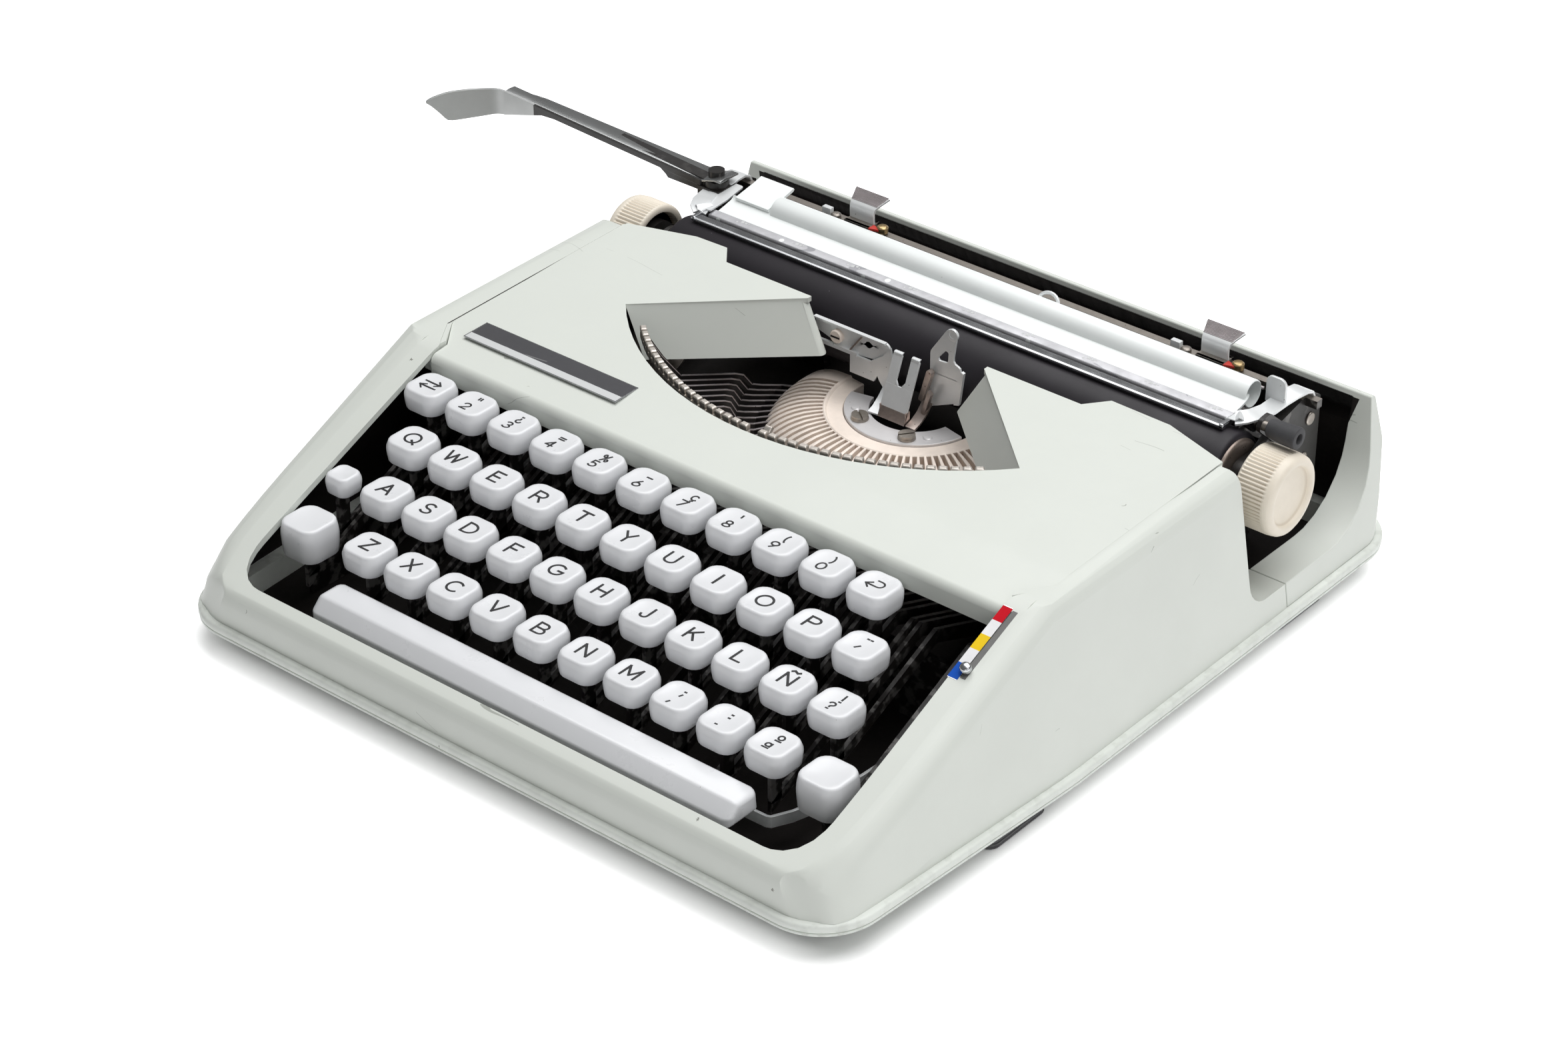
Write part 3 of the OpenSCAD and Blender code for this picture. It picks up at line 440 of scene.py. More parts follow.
# %% The finishes of this machine
PALE, CHIP = (0.718, 0.748, 0.698), (0.25, 0.25, 0.22)
pale_paint = finish("pale_paint", PALE, 0.36, stained=(0.035, 26), layers=[
    spots(62, 0.03, 0.16, CHIP),
    scored(0.0016, 0.63, (0.42, 0.44, 0.40))],
    bump=paint_grain(800, 0.12, 0.05))
lip_paint = finish("lip_paint", (0.80, 0.835, 0.785), 0.4, stained=(0.1, 60), layers=[
    spots(110, 0.05, 0.22, CHIP),
    (worn_edge, {"From": 0.52, "To": 0.6}, (0.5, 0.52, 0.47))],
    bump=paint_grain(900, 0.2, 0.06))
# Near-black painted shade: it darkens the inside and undersides of the body, the tray, the segment's slot floors and a
# screw slot.
painted_shade_black = finish("dark_painted_shade", (0.011, 0.008, 0.007), 0.72, stained=(0.4, 60), layers=[
    spots(260, 0.07, 0.06, (0.12, 0.11, 0.1))],
    bump=paint_grain(1800, 0.5, 0.15), specular=0.3)
foot_rubber = finish("foot_rubber", (0.075, 0.075, 0.08), 0.62, stained=(0.3, 90), layers=[
    spots(400, 0.1, 0.1, (0.2, 0.2, 0.2))],
    bump=paint_grain(2400, 0.4, 0.1), specular=0.35)
black_steel = finish("black_steel", (0.014, 0.012, 0.011), 0.34, stained=(0.3, 50), uneven=0.2, layers=[
    spots(420, 0.07, 0.05, (0.16, 0.15, 0.14)),
    (worn_edge, {"From": 0.54, "To": 0.64}, (0.12, 0.115, 0.11))],
    bump=paint_grain(1500, 0.25, 0.05))
key_white = finish("key_white", (0.80, 0.81, 0.83), 0.26, stained=(0.02, 90), layers=[
    spots(240, 0.035, 0.05, (0.45, 0.43, 0.4))],
    bump=paint_grain(700, 0.05, 0.04), coat=0.25)
legend_black = finish("legend_black", (0.012, 0.012, 0.014), 0.45, stained=(0.3, 800), layers=[
    spots(1500, 0.2, 0.03, (0.2, 0.2, 0.2))])
bright = finish("bright_plate", (0.60, 0.61, 0.63), 0.17, metal=1.0, stained=(0.12, 70), uneven=0.14, layers=[
    spots(300, 0.08, 0.07, (0.3, 0.28, 0.26))],
    bump=fine_lines(0.06, 0.02))
dull_steel = finish("dull_steel", (0.46, 0.42, 0.38), 0.32, metal=1.0, stained=(0.4, 160), uneven=0.2, layers=[
    spots(500, 0.12, 0.14, (0.12, 0.09, 0.07))],
    bump=fine_lines(0.1, 0.03))
bronze = finish("segment_bronze", (0.98, 0.865, 0.77), 0.42, metal=0.1, stained=(0.2, 90), uneven=0.15, layers=[
    spots(420, 0.08, 0.08, (0.16, 0.11, 0.08))],
    bump=paint_grain(1600, 0.2, 0.04))
platen_rubber = finish("platen_rubber", (0.020, 0.017, 0.022), 0.5, stained=(0.25, 60), layers=[
    spots(330, 0.05, 0.16, (0.22, 0.2, 0.22))],
    bump=paint_grain(1300, 0.15, 0.04), specular=0.4)
cream = finish("knob_cream", (0.885, 0.81, 0.69), 0.42, stained=(0.07, 120), layers=[
    (grime, {"From": 0.485, "To": 0.42}, (0.42, 0.31, 0.19)),
    spots(300, 0.05, 0.08, (0.14, 0.1, 0.07))],
    bump=paint_grain(1400, 0.15, 0.05))
table_paint = finish("table_paint", (0.95, 0.985, 0.975), 0.32, stained=(0.04, 40), layers=[
    spots(130, 0.03, 0.15, (0.4, 0.42, 0.42))],
    bump=paint_grain(900, 0.1, 0.04))
ruler_silver = finish("ruler_silver", (0.56, 0.56, 0.58), 0.36, metal=0.75, stained=(0.25, 90), uneven=0.2, layers=[
    spots(210, 0.24, 0.12, (0.84, 0.87, 0.86)),
    scored(0.01, 0.5, (0.34, 0.34, 0.36))],
    bump=fine_lines(0.25, 0.04))
brass = finish("brass", (0.62, 0.46, 0.24), 0.3, metal=1.0, stained=(0.3, 200), uneven=0.15)
print("metals and paints so far", len(bpy.data.materials))

# %% [markdown]
# The small parts each have a finish of their own: stamped bars that have gone brown, type metal worn
# bright, a white plated crescent, bronze caps, and the inks of the foil plate and the colour strip.

# %% Finishes of the small parts
FINE_SPECKS = (600, 0.12, 0.12)
grey_rubber = finish("grey_rubber", (0.135, 0.135, 0.14), 0.6, stained=(0.3, 90),
                     bump=paint_grain(2400, 0.4, 0.1), specular=0.35)
dull_bronze = finish("dull_bronze", (0.33, 0.27, 0.235), 0.42, metal=0.85, stained=(0.25, 130), uneven=0.15, layers=[
    spots(*FINE_SPECKS, (0.1, 0.075, 0.06))], bump=fine_lines(0.15, 0.04))
rose_steel = finish("rose_steel", (0.60, 0.555, 0.56), 0.34, metal=0.85, stained=(0.2, 200), uneven=0.15, layers=[
    spots(*FINE_SPECKS, (0.25, 0.2, 0.2))], bump=fine_lines(0.15, 0.03))
plate_white = finish("plate_white", (0.80, 0.785, 0.79), 0.3, metal=0.35, stained=(0.1, 120), uneven=0.12, layers=[
    spots(*FINE_SPECKS, (0.35, 0.32, 0.3))], bump=paint_grain(1500, 0.1, 0.03))
screw_steel = finish("screw_steel", (0.44, 0.40, 0.355), 0.28, metal=1.0, stained=(0.35, 400), uneven=0.15, layers=[
    spots(*FINE_SPECKS, (0.1, 0.08, 0.06))])
bar_steel = finish("bar_steel", (0.52, 0.44, 0.40), 0.3, metal=0.85, stained=(0.35, 260), uneven=0.2, layers=[
    spots(*FINE_SPECKS, (0.07, 0.05, 0.04))], bump=fine_lines(0.1, 0.03))
type_metal = finish("type_metal", (0.86, 0.80, 0.73), 0.27, metal=0.7, stained=(0.45, 500), uneven=0.25, layers=[
    spots(*FINE_SPECKS, (0.1, 0.08, 0.07))])
# Plated sheet whose colour is raised near white, with little metal, so it looks as if it mirrors a white sky: painted
# reflection.
bright_sheet_painted_reflection = finish("bright_sheet_painted_reflection", (0.88, 0.9, 0.905), 0.28, metal=0.3, stained=(0.12, 90), uneven=0.14, layers=[
    spots(*FINE_SPECKS, (0.3, 0.29, 0.28))], bump=fine_lines(0.08, 0.03))
# The blade and the arm are one plated steel: the blade's copy is lighter and less metallic as painted light, the arm's
# darker as painted shade.
blade_steel_painted_light = finish("blade_steel_painted_light", (0.50, 0.51, 0.505), 0.36, metal=0.35, stained=(0.12, 60), uneven=0.12)
lever_steel_painted_shade = finish("lever_steel_painted_shade", (0.45, 0.46, 0.46), 0.22, metal=0.9, stained=(0.15, 50), uneven=0.12, layers=[
    spots(260, 0.07, 0.06, (0.25, 0.24, 0.22))], bump=fine_lines(0.08, 0.03))
flaked = finish("flaked", (0.66, 0.67, 0.67), 0.6, stained=(0.2, 700))
red_paint = finish("red_paint", (0.62, 0.05, 0.035), 0.4, stained=(0.2, 200))
plate_dark = finish("plate_dark", (0.062, 0.062, 0.068), 0.38, stained=(0.2, 90), layers=[
    scored(0.004, 0.6, (0.2, 0.2, 0.2))], bump=fine_lines(0.1, 0.02))
plate_light = finish("plate_light", (0.70, 0.715, 0.715), 0.34, metal=0.15, stained=(0.05, 90),
                     bump=fine_lines(0.1, 0.02))
strip_white = finish("strip_white", (0.84, 0.84, 0.85), 0.35, stained=(0.06, 300))
strip_yellow = finish("strip_yellow", (0.88, 0.60, 0.01), 0.5, stained=(0.06, 300), specular=0.15)
strip_blue = finish("strip_blue", (0.008, 0.09, 0.5), 0.5, stained=(0.1, 300), specular=0.1)
strip_red = finish("strip_red", (0.6, 0.004, 0.016), 0.5, stained=(0.1, 300), specular=0.1)
# Dark grey for the colour lever's slot: painted shade of the opening.
slot_painted_shade = finish("slot_painted_shade", (0.17, 0.17, 0.165), 0.5, stained=(0.2, 200))
print("finishes", len(bpy.data.materials))

# %% [markdown]
# ## Camera and light
# The camera was found by fitting a pinhole to the tops of the keys, which stand 19.05 mm apart. It
# looks down from the right front.

# %% Camera
FOCAL_PX, PICTURE_W = 5649.7, 2352
AZIMUTH, ELEVATION = math.radians(39.83), math.radians(32.269)
back = Vector((math.sin(AZIMUTH) * math.cos(ELEVATION), -math.cos(AZIMUTH) * math.cos(ELEVATION), math.sin(ELEVATION)))
lens = bpy.data.cameras.new("camera")
lens.sensor_width, lens.lens = 36.0, 36.0 * FOCAL_PX / PICTURE_W
lens.clip_start, lens.clip_end = 0.05, 50
camera = bpy.data.objects.new("camera", lens)
bpy.context.scene.collection.objects.link(camera)
camera.location = metres((678.2, -668.4, 685.3))
camera.rotation_mode = "QUATERNION"
camera.rotation_quaternion = (-back).to_track_quat("-Z", "Y")
bpy.context.scene.camera = camera
bpy.context.scene.view_settings.view_transform = "Standard"
print("lens", round(lens.lens, 2), "mm")

# %% [markdown]
# The light is a pale studio: a weak even sky, a broad soft box overhead, a smaller one on the right and
# a little one low at the front right corner. So the top is the lightest side and the front the darkest.
# More lamps would flatten the form, and one hard lamp would draw black shadows between the keys.

# %% Sky and soft boxes
world = bpy.data.worlds.new("studio")
bpy.context.scene.world = world
world.use_nodes = True
sky = world.node_tree.nodes["Background"]
sky.inputs["Color"].default_value = (1.0, 1.0, 1.0, 1)
sky.inputs["Strength"].default_value = 0.15


def soft_box(name, place, target, size, watts):
    lamp = bpy.data.lights.new(name, "AREA")
    lamp.shape, lamp.size, lamp.size_y, lamp.energy = "RECTANGLE", size[0], size[1], watts
    obj = bpy.data.objects.new(name, lamp)
    bpy.context.scene.collection.objects.link(obj)
    obj.location = place
    obj.rotation_mode = "QUATERNION"
    obj.rotation_quaternion = (Vector(target) - Vector(place)).to_track_quat("-Z", "Y")


soft_box("overhead", (0.1, 0.4, 1.5), (0.0, 0.05, 0), (2.2, 1.4), 31.0)
soft_box("right_side", (1.5, -0.4, 0.8), (0.1, 0, 0.03), (0.8, 0.8), 3.2)
soft_box("corner", (0.42, -0.5, 0.2), (0.12, -0.15, 0.03), (0.25, 0.25), 0.22)
print("soft boxes", len(bpy.data.lights))

# %% [markdown]
# A studio floor is lit far brighter than the object on it. More light would bleach the machine, so the
# floor glows instead, but only for camera, glossy and transmission rays: the glow is seen and mirrored and
# throws no light on the machine. It fades out close by, measured from a rectangle in plan, and that fade
# paints a darker band round the machine as contact shadow, over the shadow that the lamps cast.

# %% Floor
GLOW, GLOW_FROM, GLOW_FULL = 0.66, 0.009, 0.026
PLAN_MIDDLE, PLAN_HALF = metres((0, 149.3, 0)), (0.1243, 0.1298, 0)
floor_mesh = bpy.data.meshes.new("floor")
floor_mesh.from_pydata([(-6, -6, 0), (6, -6, 0), (6, 6, 0), (-6, 6, 0)], [], [(0, 1, 2, 3)])
floor = bpy.data.objects.new("floor", floor_mesh)
bpy.context.scene.collection.objects.link(floor)
pale_floor = finish("pale_floor", (0.95, 0.95, 0.955), 0.85, stained=(0.01, 3), specular=0.0)
tree = pale_floor.node_tree
shader = tree.nodes["Principled BSDF"]
shader.inputs["Emission Color"].default_value = (1, 1, 1, 1)
away = tree.nodes.new("ShaderNodeNewGeometry").outputs["Position"]
for work, value in (("SUBTRACT", PLAN_MIDDLE), ("ABSOLUTE", (0, 0, 0)), ("SUBTRACT", PLAN_HALF),
                    ("MAXIMUM", (0, 0, -9)), ("MULTIPLY", (1, 1, 0))):
    away = add_node(tree, "ShaderNodeVectorMath", {"operation": work}, i0=away, i1=value).outputs["Vector"]
away = add_node(tree, "ShaderNodeVectorMath", {"operation": "LENGTH"}, i0=away).outputs["Value"]
seen = tree.nodes.new("ShaderNodeLightPath").outputs
rays = sums(tree, "MAXIMUM", seen["Is Camera Ray"], seen["Is Glossy Ray"])
rays = sums(tree, "MAXIMUM", rays, seen["Is Transmission Ray"])
# The glow is cut near the machine, which paints a contact shadow on the floor.
glow = sums(tree, "MULTIPLY", rays, window(tree, away, GLOW_FROM, GLOW_FULL, GLOW))
tree.links.new(glow, shader.inputs["Emission Strength"])
floor_mesh.materials.append(pale_floor)
print("floor nodes", len(tree.nodes))

# %% [markdown]
# ## Body
# The two shells and the ribbon cover are pressed sheet with softly rolled edges. Their skin is the solid's
# own surface, with its flat facets joined and its hard edges rolled over. Where the sheet is rounder than
# the solid, the skin is cut into strips, bent, and relaxed. Faces that look inwards or down are painted
# near-black as shade.

# %% Skin over a CAD solid
SAME_POINT, SAME_PLANE, RELAX_ROUNDS = 2e-6, math.radians(0.7), 8


def skin(node, finishes, choose, edge, cuts=(), bend=None, relax=None):
    """choose(middle, direction) gives a face's finish, bend moves a point, relax says which points to smooth."""
    source = frame["nodes"][node]
    mesh = bpy.data.meshes.new(node + "_skin")
    work = bmesh.new()
    work.from_mesh(source.data)
    bmesh.ops.remove_doubles(work, verts=work.verts, dist=SAME_POINT)
    bmesh.ops.dissolve_limit(work, angle_limit=SAME_PLANE, verts=work.verts, edges=work.edges)
    bmesh.ops.recalc_face_normals(work, faces=work.faces)
    for point, normal in cuts:
        everything = work.verts[:] + work.edges[:] + work.faces[:]
        bmesh.ops.bisect_plane(work, geom=everything, dist=1e-6, plane_co=metres(point), plane_no=normal)
    for f in work.faces:
        f.smooth = True
        f.material_index = choose(f.calc_center_median() * 1000 - DRAWING_ORIGIN, f.normal)
    if bend:
        for v in work.verts:
            v.co = metres(bend(v.co * 1000 - DRAWING_ORIGIN))
    if relax:
        loose = [v for v in work.verts if relax(v.co * 1000 - DRAWING_ORIGIN)]
        for _ in range(RELAX_ROUNDS):
            bmesh.ops.smooth_vert(work, verts=loose, factor=0.5, use_axis_x=True, use_axis_y=True, use_axis_z=True)
    work.to_mesh(mesh)
    work.free()
    for m in finishes:
        mesh.materials.append(m)
    set_up(node + "_skin", mesh, source["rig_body"], [node], edge)


print("skin function ready")

# %% [markdown]
# The front shell's sheet differs from its solid in small ways: the keyboard frame's front edge stands
# higher, the left ridge is wider and the front corners are drawn in. Three rules say which faces get the
# near-black painted shade: c is a face's middle and n its direction.

# %% Body skins
# the rear shell's opening: half width at the lip, lean of its sides, height of its edge
OPENING_X, OPENING_LEAN, OPENING_Z = 117.3, 0.28, 49.2


# Faces below the rim that face inwards or down take the near-black painted shade.
def inside_front(c, n):
    top = min(slope_z(c.y), deck_z(c.y))
    if c.z > top - 2.6:
        return 0
    outward = n.x * (1 if c.x > 0 else -1) if abs(c.x) > 110 else -n.y
    return 1 if n.z < -0.3 or outward < -0.2 else 0


def inside_rear(c, n):
    inward = n.x * (1 if c.x > 0 else -1) < -0.5 and abs(c.x) < 131 and c.z < 30
    in_opening = abs(c.x) < OPENING_X + OPENING_LEAN * c.z and c.z < OPENING_Z
    return 1 if inward or (in_opening and n.y < -0.1) or n.z < -0.4 else 0


def true_form(p):
    """A point of the front shell's solid, moved to where the pressed sheet has it."""
    top, back = min(slope_z(p.y), deck_z(p.y)), max(p.y, 0.0)
    # the front rim is narrower and its edge higher
    y = p.y - 2.9 * ramp(p.y, 1.5, 9.4) * (1 - ramp(p.y, 9.4, 36))
    z = p.z * frame_z(y) / slope_z(p.y) if p.y < KNEE_Y and p.z > 0 else p.z
    x = p.x + 0.8 * ramp(p.x, 90, 115) * (1 - ramp(p.x, 122, 130)) * (1 - ramp(p.y, 40, 95))
    # the left ridge leans out, most at its top
    foot = 9.0 * ramp(p.y, 150, 200)
    out, up = limited((-p.x - 128.5) / 4.0), limited((p.z - foot) / (0.72 * (top - foot)))
    most = 4.5 * (0.3 + 0.7 * limited(p.y / KNEE_Y)) + 0.012 * max(0.0, p.y - 110)
    x -= most * out * up * ramp(p.y, 0, 16)
    # the front corners are drawn in
    pull = 6.0 * max(0.0, 1 - back / 50) ** 2.9 + 5.0 * max(0.0, 1 - back / 18) ** 1.5
    pull *= ramp(abs(p.x), 117, 129) * up
    return Vector((x - pull if x > 0 else x + pull, y, z))


def front_corner(p):
    return abs(p.x) > 115 and p.y < 19 and p.z > 1.2 and (abs(p.x) > 123 or p.y < 5.5)


def under_cover(c, n):
    return 1 if n.z < -0.4 and c.z > 53 else 0


body_cuts = [((0, y, 0), (0, 1, 0)) for y in (3.2, 5.5, 8.5, 12, 16, 21, 28, 37, 48)]
body_cuts += [((s * x, 0, 0), (1, 0, 0)) for s in (-1, 1) for x in (113, 116, 119, 122, 125, 128, 131, 134)]
body_cuts += [((0, 0, z), (0, 0, 1)) for z in (2, 4, 6, 8)]
skin("body_shell", [pale_paint, painted_shade_black], inside_front, 0.7, body_cuts, true_form, front_corner)
rear_cuts = [((s * OPENING_X, 0, 0), (s * 1.0, 0, -OPENING_LEAN)) for s in (-1, 1)]
rear_cuts += [((0, 0, OPENING_Z), (0, 0, 1))]
skin("rear_shell", [pale_paint, painted_shade_black], inside_rear, 0.6, rear_cuts)
skin("ribbon_cover", [pale_paint, painted_shade_black], under_cover, 0.7)
print("body cuts", len(body_cuts) + len(rear_cuts))

# %% [markdown]
# The base pan is two pressed sheets whose edges meet in the lip: a rounded upper band, a thin groove
# and a narrower lower band. One section carried round the outline gives both, and the tray below.

# %% Base pan


def body_outline(inset, n=14):
    side, front, y0, y1, r = 146.3 - inset, 139.7 - inset, inset - 2.5, 301.1 - inset, 22 - inset
    corners = [(-front, y0), (front, y0), (side, 110), (side, y1), (-side, y1), (-side, 110)]
    return rounded(corners, [r, r, 150, r, r, 150], n)


lip_section = [(9.0, -8.8), (9.0, -0.02), (1.1, -0.02), (0.5, -0.18), (0.15, -0.55), (0.02, -1.1), (0.05, -2.3),
               (0.3, -2.62), (0.75, -2.72), (0.75, -2.86), (0.3, -2.98), (0.22, -3.2), (0.25, -3.8), (0.6, -4.15),
               (1.3, -4.3), (7.4, -4.3), (7.4, -8.6), (7.8, -9.6), (9.0, -10.0)]
pan = Form()
pan.loft([[(*p, z) for p in body_outline(inset)] for inset, z in lip_section], lids=False)
inner = [(*p, -8.8) for p in body_outline(9.0)]
outer = [(*p, -10.0) for p in body_outline(9.0)]
# The tray's top inside the lip is near-black: painted shade under the keys.
pan.add(inner, [tuple(range(len(inner)))], 1, smooth=False)
pan.add(outer, [tuple(reversed(range(len(outer))))], 0, smooth=False)
piece("base_pan_pressed", pan, [lip_paint, painted_shade_black], "chassis", ["base_pan"])
print("lip points", len(body_outline(0)))

# %% [markdown]
# ## Keys
# A cap is a moulded block: a rounded square that keeps its width almost to the top, a soft shoulder, and
# a face dished for the finger. Rings of one rounded square give it, and since each ring is the same shape in
# another size, the height of any point of the dish follows from the ring it lies on.

# %% Key cap
CORNER = 0.6
DISH = 0.45


def square_ring(half, n=6):
    r = CORNER * half
    return rounded(oblong(-half, half, -half, half), [r] * 4, n)


def ring_size(x, y):
    """Half size of the rounded square that passes through a point."""
    x, y = abs(x), abs(y)
    big, small = max(x, y), min(x, y)
    q = 1 - CORNER
    if small <= q * big:
        return big
    half_b, square = q * (x + y), x * x + y * y
    return square / (half_b + math.sqrt(max(half_b * half_b - (2 * q * q - CORNER * CORNER) * square, 0)))


def cap_rings(wide, top, h):
    """(half size, height) from the foot up the side, over the shoulder and into the dish."""
    f, t = wide / 2, top / 2
    rim = t - 0.95
    side = [(f - 0.95, 0.0), (f - 0.6, 0.12), (f - 0.4, 0.5), (f - 0.18, 0.26 * h), (f - 0.03, 0.46 * h),
            (f, 0.58 * h), (f - 0.1, 0.72 * h)]
    shoulder = [(t + 0.1, h - 1.05), (t - 0.04, h - 0.6), (t - 0.26, h - 0.27), (t - 0.54, h - 0.08), (rim, h)]
    dish = [(rim * s, h - DISH * (1 - s * s)) for s in (0.85, 0.65, 0.4, 0.15)]
    return side + shoulder + dish, rim


def key_cap(form, place, wide, top, h, finish=0):
    x, y, z = place
    rings, rim = cap_rings(wide, top, h)
    form.loft([[(x + a, y + b, z + up) for a, b in square_ring(half)] for half, up in rings], finish)

    def on_top(u, v):
        s = min(ring_size(u, v) / rim, 1.0)
        return (x + u, y + v, z + h - DISH * (1 - s * s))
    return on_top


print("cap rings", len(cap_rings(15.6, 12.8, 8)[0]))

# %% [markdown]
# The legends are thin, even strokes, so each sign is a few lines and bows in a box one unit high. A
# stroke becomes a narrow strip that follows the dish. The layout is the common Spanish one, with the
# second sign of a key above the first.

# %% Signs drawn as strokes


def bow(cx, cy, rx, ry, start, end, n=14):
    turn = [math.radians(start + (end - start) * i / n) for i in range(n + 1)]
    return [(cx + rx * math.cos(a), cy + ry * math.sin(a)) for a in turn]


def dot(x, y):
    return [(x - 0.07, y), (x + 0.07, y)]


LETTER_P = [[(0, 0), (0, 1), (.38, 1)] + bow(.38, .74, .27, .26, 90, -90) + [(0, .48)]]
LETTER_O = [bow(.45, .5, .45, .5, 0, 360, 28)]
LETTER_N = [[(0, 0), (0, 1), (.68, 0), (.68, 1)]]
SIGNS = {
    "A": [[(0, 0), (.38, 1), (.76, 0)], [(.14, .34), (.62, .34)]],
    "B": [[(.38, .52), (0, .52), (0, 1), (.38, 1)] + bow(.38, .76, .24, .24, 90, -90),
          [(0, .52), (0, 0), (.4, 0)] + bow(.4, .26, .28, .26, -90, 90)],
    "C": [bow(.43, .5, .43, .5, 48, 312, 22)],
    "D": [[(.25, 0), (0, 0), (0, 1), (.25, 1)] + bow(.25, .5, .48, .5, 90, -90, 20)],
    "E": [[(.58, 1), (0, 1), (0, 0), (.58, 0)], [(0, .52), (.5, .52)]],
    "F": [[(.58, 1), (0, 1), (0, 0)], [(0, .52), (.48, .52)]],
    "G": [bow(.43, .5, .43, .5, 48, 350, 22) + [(.86, .45), (.52, .45)]],
    "H": [[(0, 0), (0, 1)], [(.68, 0), (.68, 1)], [(0, .52), (.68, .52)]],
    "I": [[(0, 0), (0, 1)]],
    "J": [[(.42, 1), (.42, .24)] + bow(.21, .24, .21, .24, 0, -180)],
    "K": [[(0, 0), (0, 1)], [(.6, 1), (0, .4)], [(.22, .62), (.64, 0)]],
    "L": [[(0, 1), (0, 0), (.54, 0)]],
    "M": [[(0, 0), (0, 1), (.42, .22), (.84, 1), (.84, 0)]],
    "N": LETTER_N,
    "NN": LETTER_N + [[(.1, 1.22), (.22, 1.32), (.44, 1.22), (.56, 1.32)]],
    "O": LETTER_O,
    "P": LETTER_P,
    "Q": LETTER_O + [[(.52, .3), (.9, -.08)]],
    "R": LETTER_P + [[(.34, .48), (.64, 0)]],
    "S": [bow(.3, .75, .27, .25, 35, 270) + bow(.3, .25, .3, .25, 90, -150)],
    "T": [[(0, 1), (.7, 1)], [(.35, 1), (.35, 0)]],
    "U": [[(0, 1), (0, .32)] + bow(.33, .32, .33, .32, 180, 360) + [(.66, 1)]],
    "V": [[(0, 1), (.37, 0), (.74, 1)]],
    "W": [[(0, 1), (.25, 0), (.5, .9), (.75, 0), (1, 1)]],
    "X": [[(0, 1), (.66, 0)], [(.66, 1), (0, 0)]],
    "Y": [[(0, 1), (.35, .5), (.7, 1)], [(.35, .5), (.35, 0)]],
    "Z": [[(0, 1), (.64, 1), (0, 0), (.64, 0)]],
    "2": [bow(.28, .71, .28, .29, 165, -38) + [(0, 0), (.58, 0)]],
    "3": [bow(.27, .76, .25, .24, 150, -85) + bow(.27, .26, .3, .26, 85, -150)],
    "4": [[(.46, 0), (.46, 1), (0, .3), (.64, .3)]],
    "5": [[(.52, 1), (.1, 1), (.06, .56)] + bow(.27, .32, .3, .32, 130, -150)],
    "6": [bow(.3, .3, .3, .3, 0, 360, 20), [(.02, .38), (.42, 1)]],
    "7": [[(0, 1), (.58, 1), (.18, 0)]],
    "8": [bow(.3, .75, .24, .25, 0, 360, 18), bow(.3, .25, .3, .25, 0, 360, 18)],
    "9": [bow(.3, .7, .3, .3, 0, 360, 20), [(.58, .62), (.18, 0)]],
    "0": [bow(.33, .5, .33, .5, 0, 360, 24)],
    "quote": [[(.1, 1), (.1, .7)], [(.34, 1), (.34, .7)]],
    "turned_query": [bow(.25, .24, .24, .24, -10, -240) + [(.25, .55), (.25, .7)], dot(.25, .98)],
    "equals": [[(0, .64), (.54, .64)], [(0, .36), (.54, .36)]],
    "percent": [[(.06, 0), (.62, 1)], bow(.13, .8, .13, .17, 0, 360), bow(.56, .2, .13, .17, 0, 360)],
    "dash": [[(0, .5), (.5, .5)]],
    "cedilla": [bow(.3, .5, .3, .36, 48, 312), [(.32, .14), (.36, 0), (.2, -.1)]],
    "apostrophe": [[(.1, 1), (.1, .66)]],
    "open": [bow(.5, .5, .4, .64, 128, 232)],
    "close": [bow(-.1, .5, .4, .64, 52, -52)],
    "query": [bow(.25, .76, .24, .24, 170, -60) + [(.25, .45), (.25, .3)], dot(.25, .02)],
    "shriek": [[(.1, 1), (.1, .32)], dot(.1, .02)],
    "semicolon": [dot(.1, .6), [(.12, .14), (.02, -.14)]],
    "comma": [[(.12, .14), (.02, -.14)]],
    "colon": [dot(.1, .6), dot(.1, .1)],
    "stop": [dot(.1, .1)],
    "ordinal_o": [bow(.25, .66, .25, .28, 0, 360, 18), [(0, .16), (.5, .16)]],
    "ordinal_a": [bow(.25, .62, .22, .24, 0, 360, 18), [(.47, .86), (.47, .38)], [(0, .16), (.5, .16)]],
    "acute": [[(.1, .6), (.34, 1)]],
    "two_dots": [dot(.06, .9), dot(.4, .9)],
    "both_ways": [[(0, .72), (1, .72)], [(.72, 1), (1, .72), (.72, .5)],
                  [(0, .24), (1, .24)], [(.28, .46), (0, .24), (.28, -.04)]],
    "hook_back": [[(0, .36), (.62, .36)] + bow(.62, .62, .26, .26, -90, 90) + [(.4, .88)],
                  [(.26, .62), (0, .36), (.26, .1)]],
}


def split_at_corners(stroke):
    parts, part = [], [stroke[0]]
    for a, b, c in zip(stroke, stroke[1:], stroke[2:]):
        part.append(b)
        u, v = Vector(b) - Vector(a), Vector(c) - Vector(b)
        if u.length > 1e-6 and v.length > 1e-6 and u.angle(v) > 0.5:
            parts.append(part)
            part = [b]
    return parts + [part + [stroke[-1]]]


SIGN_WIDTH, STROKE_DEPTH, STROKE_END = 1.12, 0.12, 0.42


